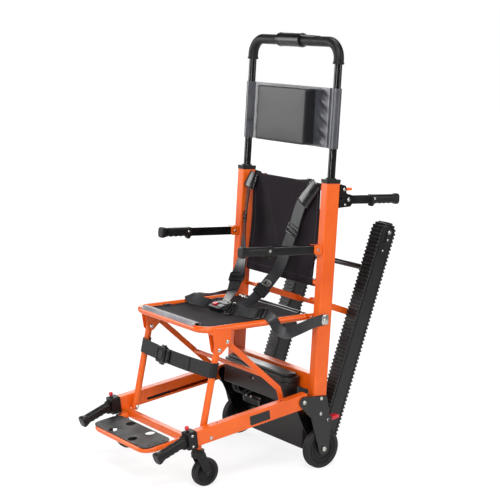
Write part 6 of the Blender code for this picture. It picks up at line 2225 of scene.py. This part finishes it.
    def shoulder(self, name: str, route: Route, fittings: Flat, tongue: bool) -> None:
        """One shoulder strap with its guard, slides and doubled ends.

        Args:
            name: The side's name.
            route: Its way.
            fittings: Where its two slides sit, counted in points of the route.
            tongue: Whether a steel tongue shows at the lower slide.
        """
        rows, last = route.rows(), len(route.points) - 1
        made = [self.dress(sheet(rows, self.webbing), WEBBING), self.guard(route)]
        for at in fittings:
            made.append(self.slide(route.spot(at / last, 0.003), self.strap + 0.012, self.slide_length))
            first = round(at * route.steps)
            made.append(self.doubled(rows[first - 9:first + 1], Vector((0.0004, -0.0034, 0.001))))
            made.append(self.doubled(rows[first:first + 9], Vector((0.0004, -0.0024, 0.0014))))
        if tongue:
            steel = plate(rounded(0.04, 0.026, 0.011), 0.0024,
                          route.spot((fittings[1] - 0.45) / last, 0.007), 0.0007,
                          [rounded(0.014, 0.01, 0.004, (0.006, 0.002))])
            made.append(self.dress(steel, STEEL))
        self.piece(join(*made), f"shoulder_webbing_{name}", "base", WEBBING, [f"shoulder_strap_{name}"],
                   dressed=True,
                   blend=("seat", (0, -0.12, self.middle + 0.14),
                          (0, self.buckle[1] + 0.04, self.middle)))

    def lap(self, name: str, s: int, route: Route, slides: Sequence[float], twice: Flat) -> None:
        """One lap belt with its steel tab and slides.

        Args:
            name: The side's name.
            s: The side's sign.
            route: Its way.
            slides: Where its slides sit, counted in points of the route.
            twice: The part that is doubled, counted in points of the route.
        """
        rows, last = route.rows(), len(route.points) - 1
        made = [self.dress(sheet(rows, self.webbing), WEBBING)]
        first, end = (round(at * route.steps) for at in twice)
        made.append(self.doubled(rows[first:end], Vector((0.0012, -0.003, 0.0026))))
        made += [self.slide(route.spot(at / last, 0.003), self.lap_width + 0.012, self.slide_length)
                 for at in slides]
        x, y, z = route.points[0]
        tab = plate(rounded(0.03, 0.036, 0.008, (y, z)), 0.0024, side(x + s * 0.0022), 0.0006)
        made.append(self.dress(tab, STEEL))
        self.piece(join(*made), f"lap_webbing_{name}", "base", WEBBING, [f"lap_belt_{name}"],
                   dressed=True, blend=("seat", (0, -0.06, self.middle), (0, -0.2, self.middle)))

    def body(self) -> None:
        """The buckle: a moulded case with a raised face, a red button and steel rings."""
        x, y = self.buckle
        w, d, h = self.size
        # The straps hold it a little up at the back, with its button and its opening at one place.
        button_at = (-0.02, -0.006)
        place = plan(x, y, self.middle + 0.0045) @ Matrix.Rotation(self.tilt, 4, "X")
        case = plate(rounded(w, d, 0.01), h, place, 0.0036, [rounded(0.023, 0.0196, 0.002, button_at)],
                     4)
        cap = plate(rounded(w - 0.024, 0.016, 0.004, (0.006, 0.014)), 0.006, place @ plan(0, 0, h / 2),
                    0.0014, (), 3)
        lip = plate(rounded(0.03, 0.022, 0.004, (0.02, -0.008)), 0.005, place @ plan(0, 0, h / 2),
                    0.0014, (), 3)
        ears = [plate(rounded(0.014, 0.04, 0.005, (e * (w / 2 + 0.002), 0)), 0.012,
                      place @ plan(0, 0, -0.001), 0.003, (), 3) for e in (-1, 1)]
        self.piece(join(case, cap, lip, *ears), "buckle_case", "seat", COVER, ["harness_buckle"])
        button = plate(rounded(0.022, 0.015, 0.003, button_at), 0.008,
                       place @ plan(0, 0, h / 2 + 0.0012), 0.0014, (), 3)
        self.piece(button, "release_button", "buckle_button", RED, ["buckle_button"])
        rings = []
        for u, v, turn in ((-0.046, -0.245, 0.2), (-0.004, -0.242, -0.5)):
            loop = tube([(*p, 0.0) for p in rounded(0.04, 0.024, 0.008, steps=6)], 0.0019, 12,
                        closed=True)
            spin = plan(u, v, self.middle + 0.014) @ Matrix.Rotation(turn, 4, "Z")
            loop.data.transform(spin @ Matrix.Rotation(self.ring_tilt, 4, "X"))
            rings.append(loop)
        self.piece(join(*rings), "harness_rings", "seat", STEEL)


@dataclass
class Studio:
    """The floor, the light and the camera at the photograph's place."""

    azimuth: float = math.radians(54.0)
    elevation: float = math.radians(7.96)
    roll: float = math.radians(3.26)
    distance: float = 5.174
    focal: float = 1416.0
    aim_y: float = -0.18
    aim_z: float = 0.772
    picture: float = 500
    sensor: float = 36.0
    ambient: float = 0.09

    def build(self) -> None:
        """Makes the studio."""
        bpy.context.scene.view_settings.view_transform = "Standard"
        self.camera()
        self.floor()
        self.world()
        self.lamp("key", (2.9, -1.9, 4.0), size=1.8, power=150)
        self.lamp("side", (3.6, 2.3, 2.2), size=0.5, power=48, height=2.0)
        self.lamp("wall", (-3.8, 2.6, 1.7), size=3.4, power=125)
        self.lamp("front", (-3.0, -2.6, 1.6), size=1.8, power=66)
        self.lamp("top", (-0.4, 0.2, 4.6), size=1.8, power=70)
        self.lamp("strip", (1.7, -3.7, 1.7), size=0.2, power=60, height=2.6)

    def camera(self) -> None:
        """The camera, turned a little about its own axis as in the photograph."""
        a, e, r = self.azimuth, self.elevation, self.roll
        back = Vector((math.sin(a) * math.cos(e), -math.cos(a) * math.cos(e), math.sin(e)))
        right = Vector((math.cos(a), math.sin(a), 0.0))
        up = right.cross(-back)
        lens = bpy.data.cameras.new("camera")
        lens.sensor_width = self.sensor
        lens.lens = self.focal / self.picture * self.sensor
        camera = bpy.data.objects.new("camera", lens)
        rolled = right * math.cos(r) + up * math.sin(r), up * math.cos(r) - right * math.sin(r)
        matrix = Matrix((*rolled, back)).transposed().to_4x4()
        matrix.translation = Vector((0, self.aim_y + AXLE_Y, self.aim_z)) + back * self.distance
        camera.matrix_world = matrix
        bpy.context.scene.collection.objects.link(camera)
        bpy.context.scene.camera = camera

    def floor(self) -> None:
        """A wide pale floor that keeps a soft shadow."""
        floor = added(bpy.ops.mesh.primitive_plane_add, size=60.0, location=(0, 0, -0.0005))
        floor.name = "floor"
        made = bpy.data.materials.new("white_paper")
        made.use_nodes = True
        tree = made.node_tree
        matt = tree.nodes["Principled BSDF"]
        matt.inputs["Base Color"].default_value = linear("#F4F4F4")
        matt.inputs["Roughness"].default_value = 0.9
        rays = node(tree, "LightPath", {}, {}).outputs
        away = node(tree, "VectorMath", {"operation": "LENGTH"},
                    {0: node(tree, "TexCoord", {}, {}).outputs["Object"]})
        clear = node(tree, "MapRange", {},
                     {"Value": away.outputs["Value"], "From Min": 0.9, "From Max": 3.0, "To Min": 0.74,
                      "To Max": 1.0})
        share = node(tree, "Math", {"operation": "MULTIPLY"},
                     {0: rays["Is Camera Ray"], 1: clear.outputs[0]})
        glow = node(tree, "Emission", {}, {"Color": (1, 1, 1, 1), "Strength": 1.1})
        mixed = node(tree, "MixShader", {},
                     {0: share.outputs[0], 1: matt.outputs[0], 2: glow.outputs[0]})
        tree.links.new(mixed.outputs[0], tree.nodes["Material Output"].inputs["Surface"])
        floor.data.materials.append(made)

    def world(self) -> None:
        """Soft light from all round, seen as white."""
        world = bpy.data.worlds.new("studio")
        bpy.context.scene.world = world
        world.use_nodes = True
        tree = world.node_tree
        rays = node(tree, "LightPath", {}, {}).outputs
        seen = node(tree, "Math", {"operation": "MAXIMUM"},
                    {0: rays["Is Camera Ray"], 1: rays["Is Transmission Ray"]})
        strength = node(tree, "MapRange", {},
                        {"Value": seen.outputs[0], "To Min": self.ambient, "To Max": 1.0})
        tree.links.new(strength.outputs[0], tree.nodes["Background"].inputs["Strength"])
        tree.nodes["Background"].inputs["Color"].default_value = (1, 1, 1, 1)

    def lamp(self, name: str, place: Point, size: float, power: float, height: float = 0.0) -> None:
        """One soft box.

        Args:
            name: Its name.
            place: Where it stands, from the rear axle.
            size: Its width.
            power: Its power in watts.
            height: Its height, where it isn't square.
        """
        light = bpy.data.lights.new(name, "AREA")
        light.shape = "RECTANGLE"
        light.size, light.size_y = size, height or size
        light.energy = power
        obj = bpy.data.objects.new(name, light)
        spot = Vector(place)
        look = Vector((0, -0.1, 0.7)) - spot
        turn = look.to_track_quat("-Z", "Y").to_matrix().to_4x4()
        obj.matrix_world = Matrix.Translation(spot + Vector((0, AXLE_Y, 0))) @ turn
        bpy.context.scene.collection.objects.link(obj)


def main() -> None:
    """Builds the studio and every sub-assembly."""
    logging.basicConfig(level=logging.INFO, format="%(message)s")
    for part in (Studio(), BackFrame(), PushHandle(), CarryHandles(), LowerFrame(), RearWheels(),
                 Seat(), Tracks(), Drive(), Harness()):
        LOG.info("building %s", type(part).__name__)
        part.build()
    bare = [name for name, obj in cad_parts.items() if not obj.hide_render]
    LOG.info("nodes that show as packed: %s", bare)


if __name__ == "__main__":
    main()
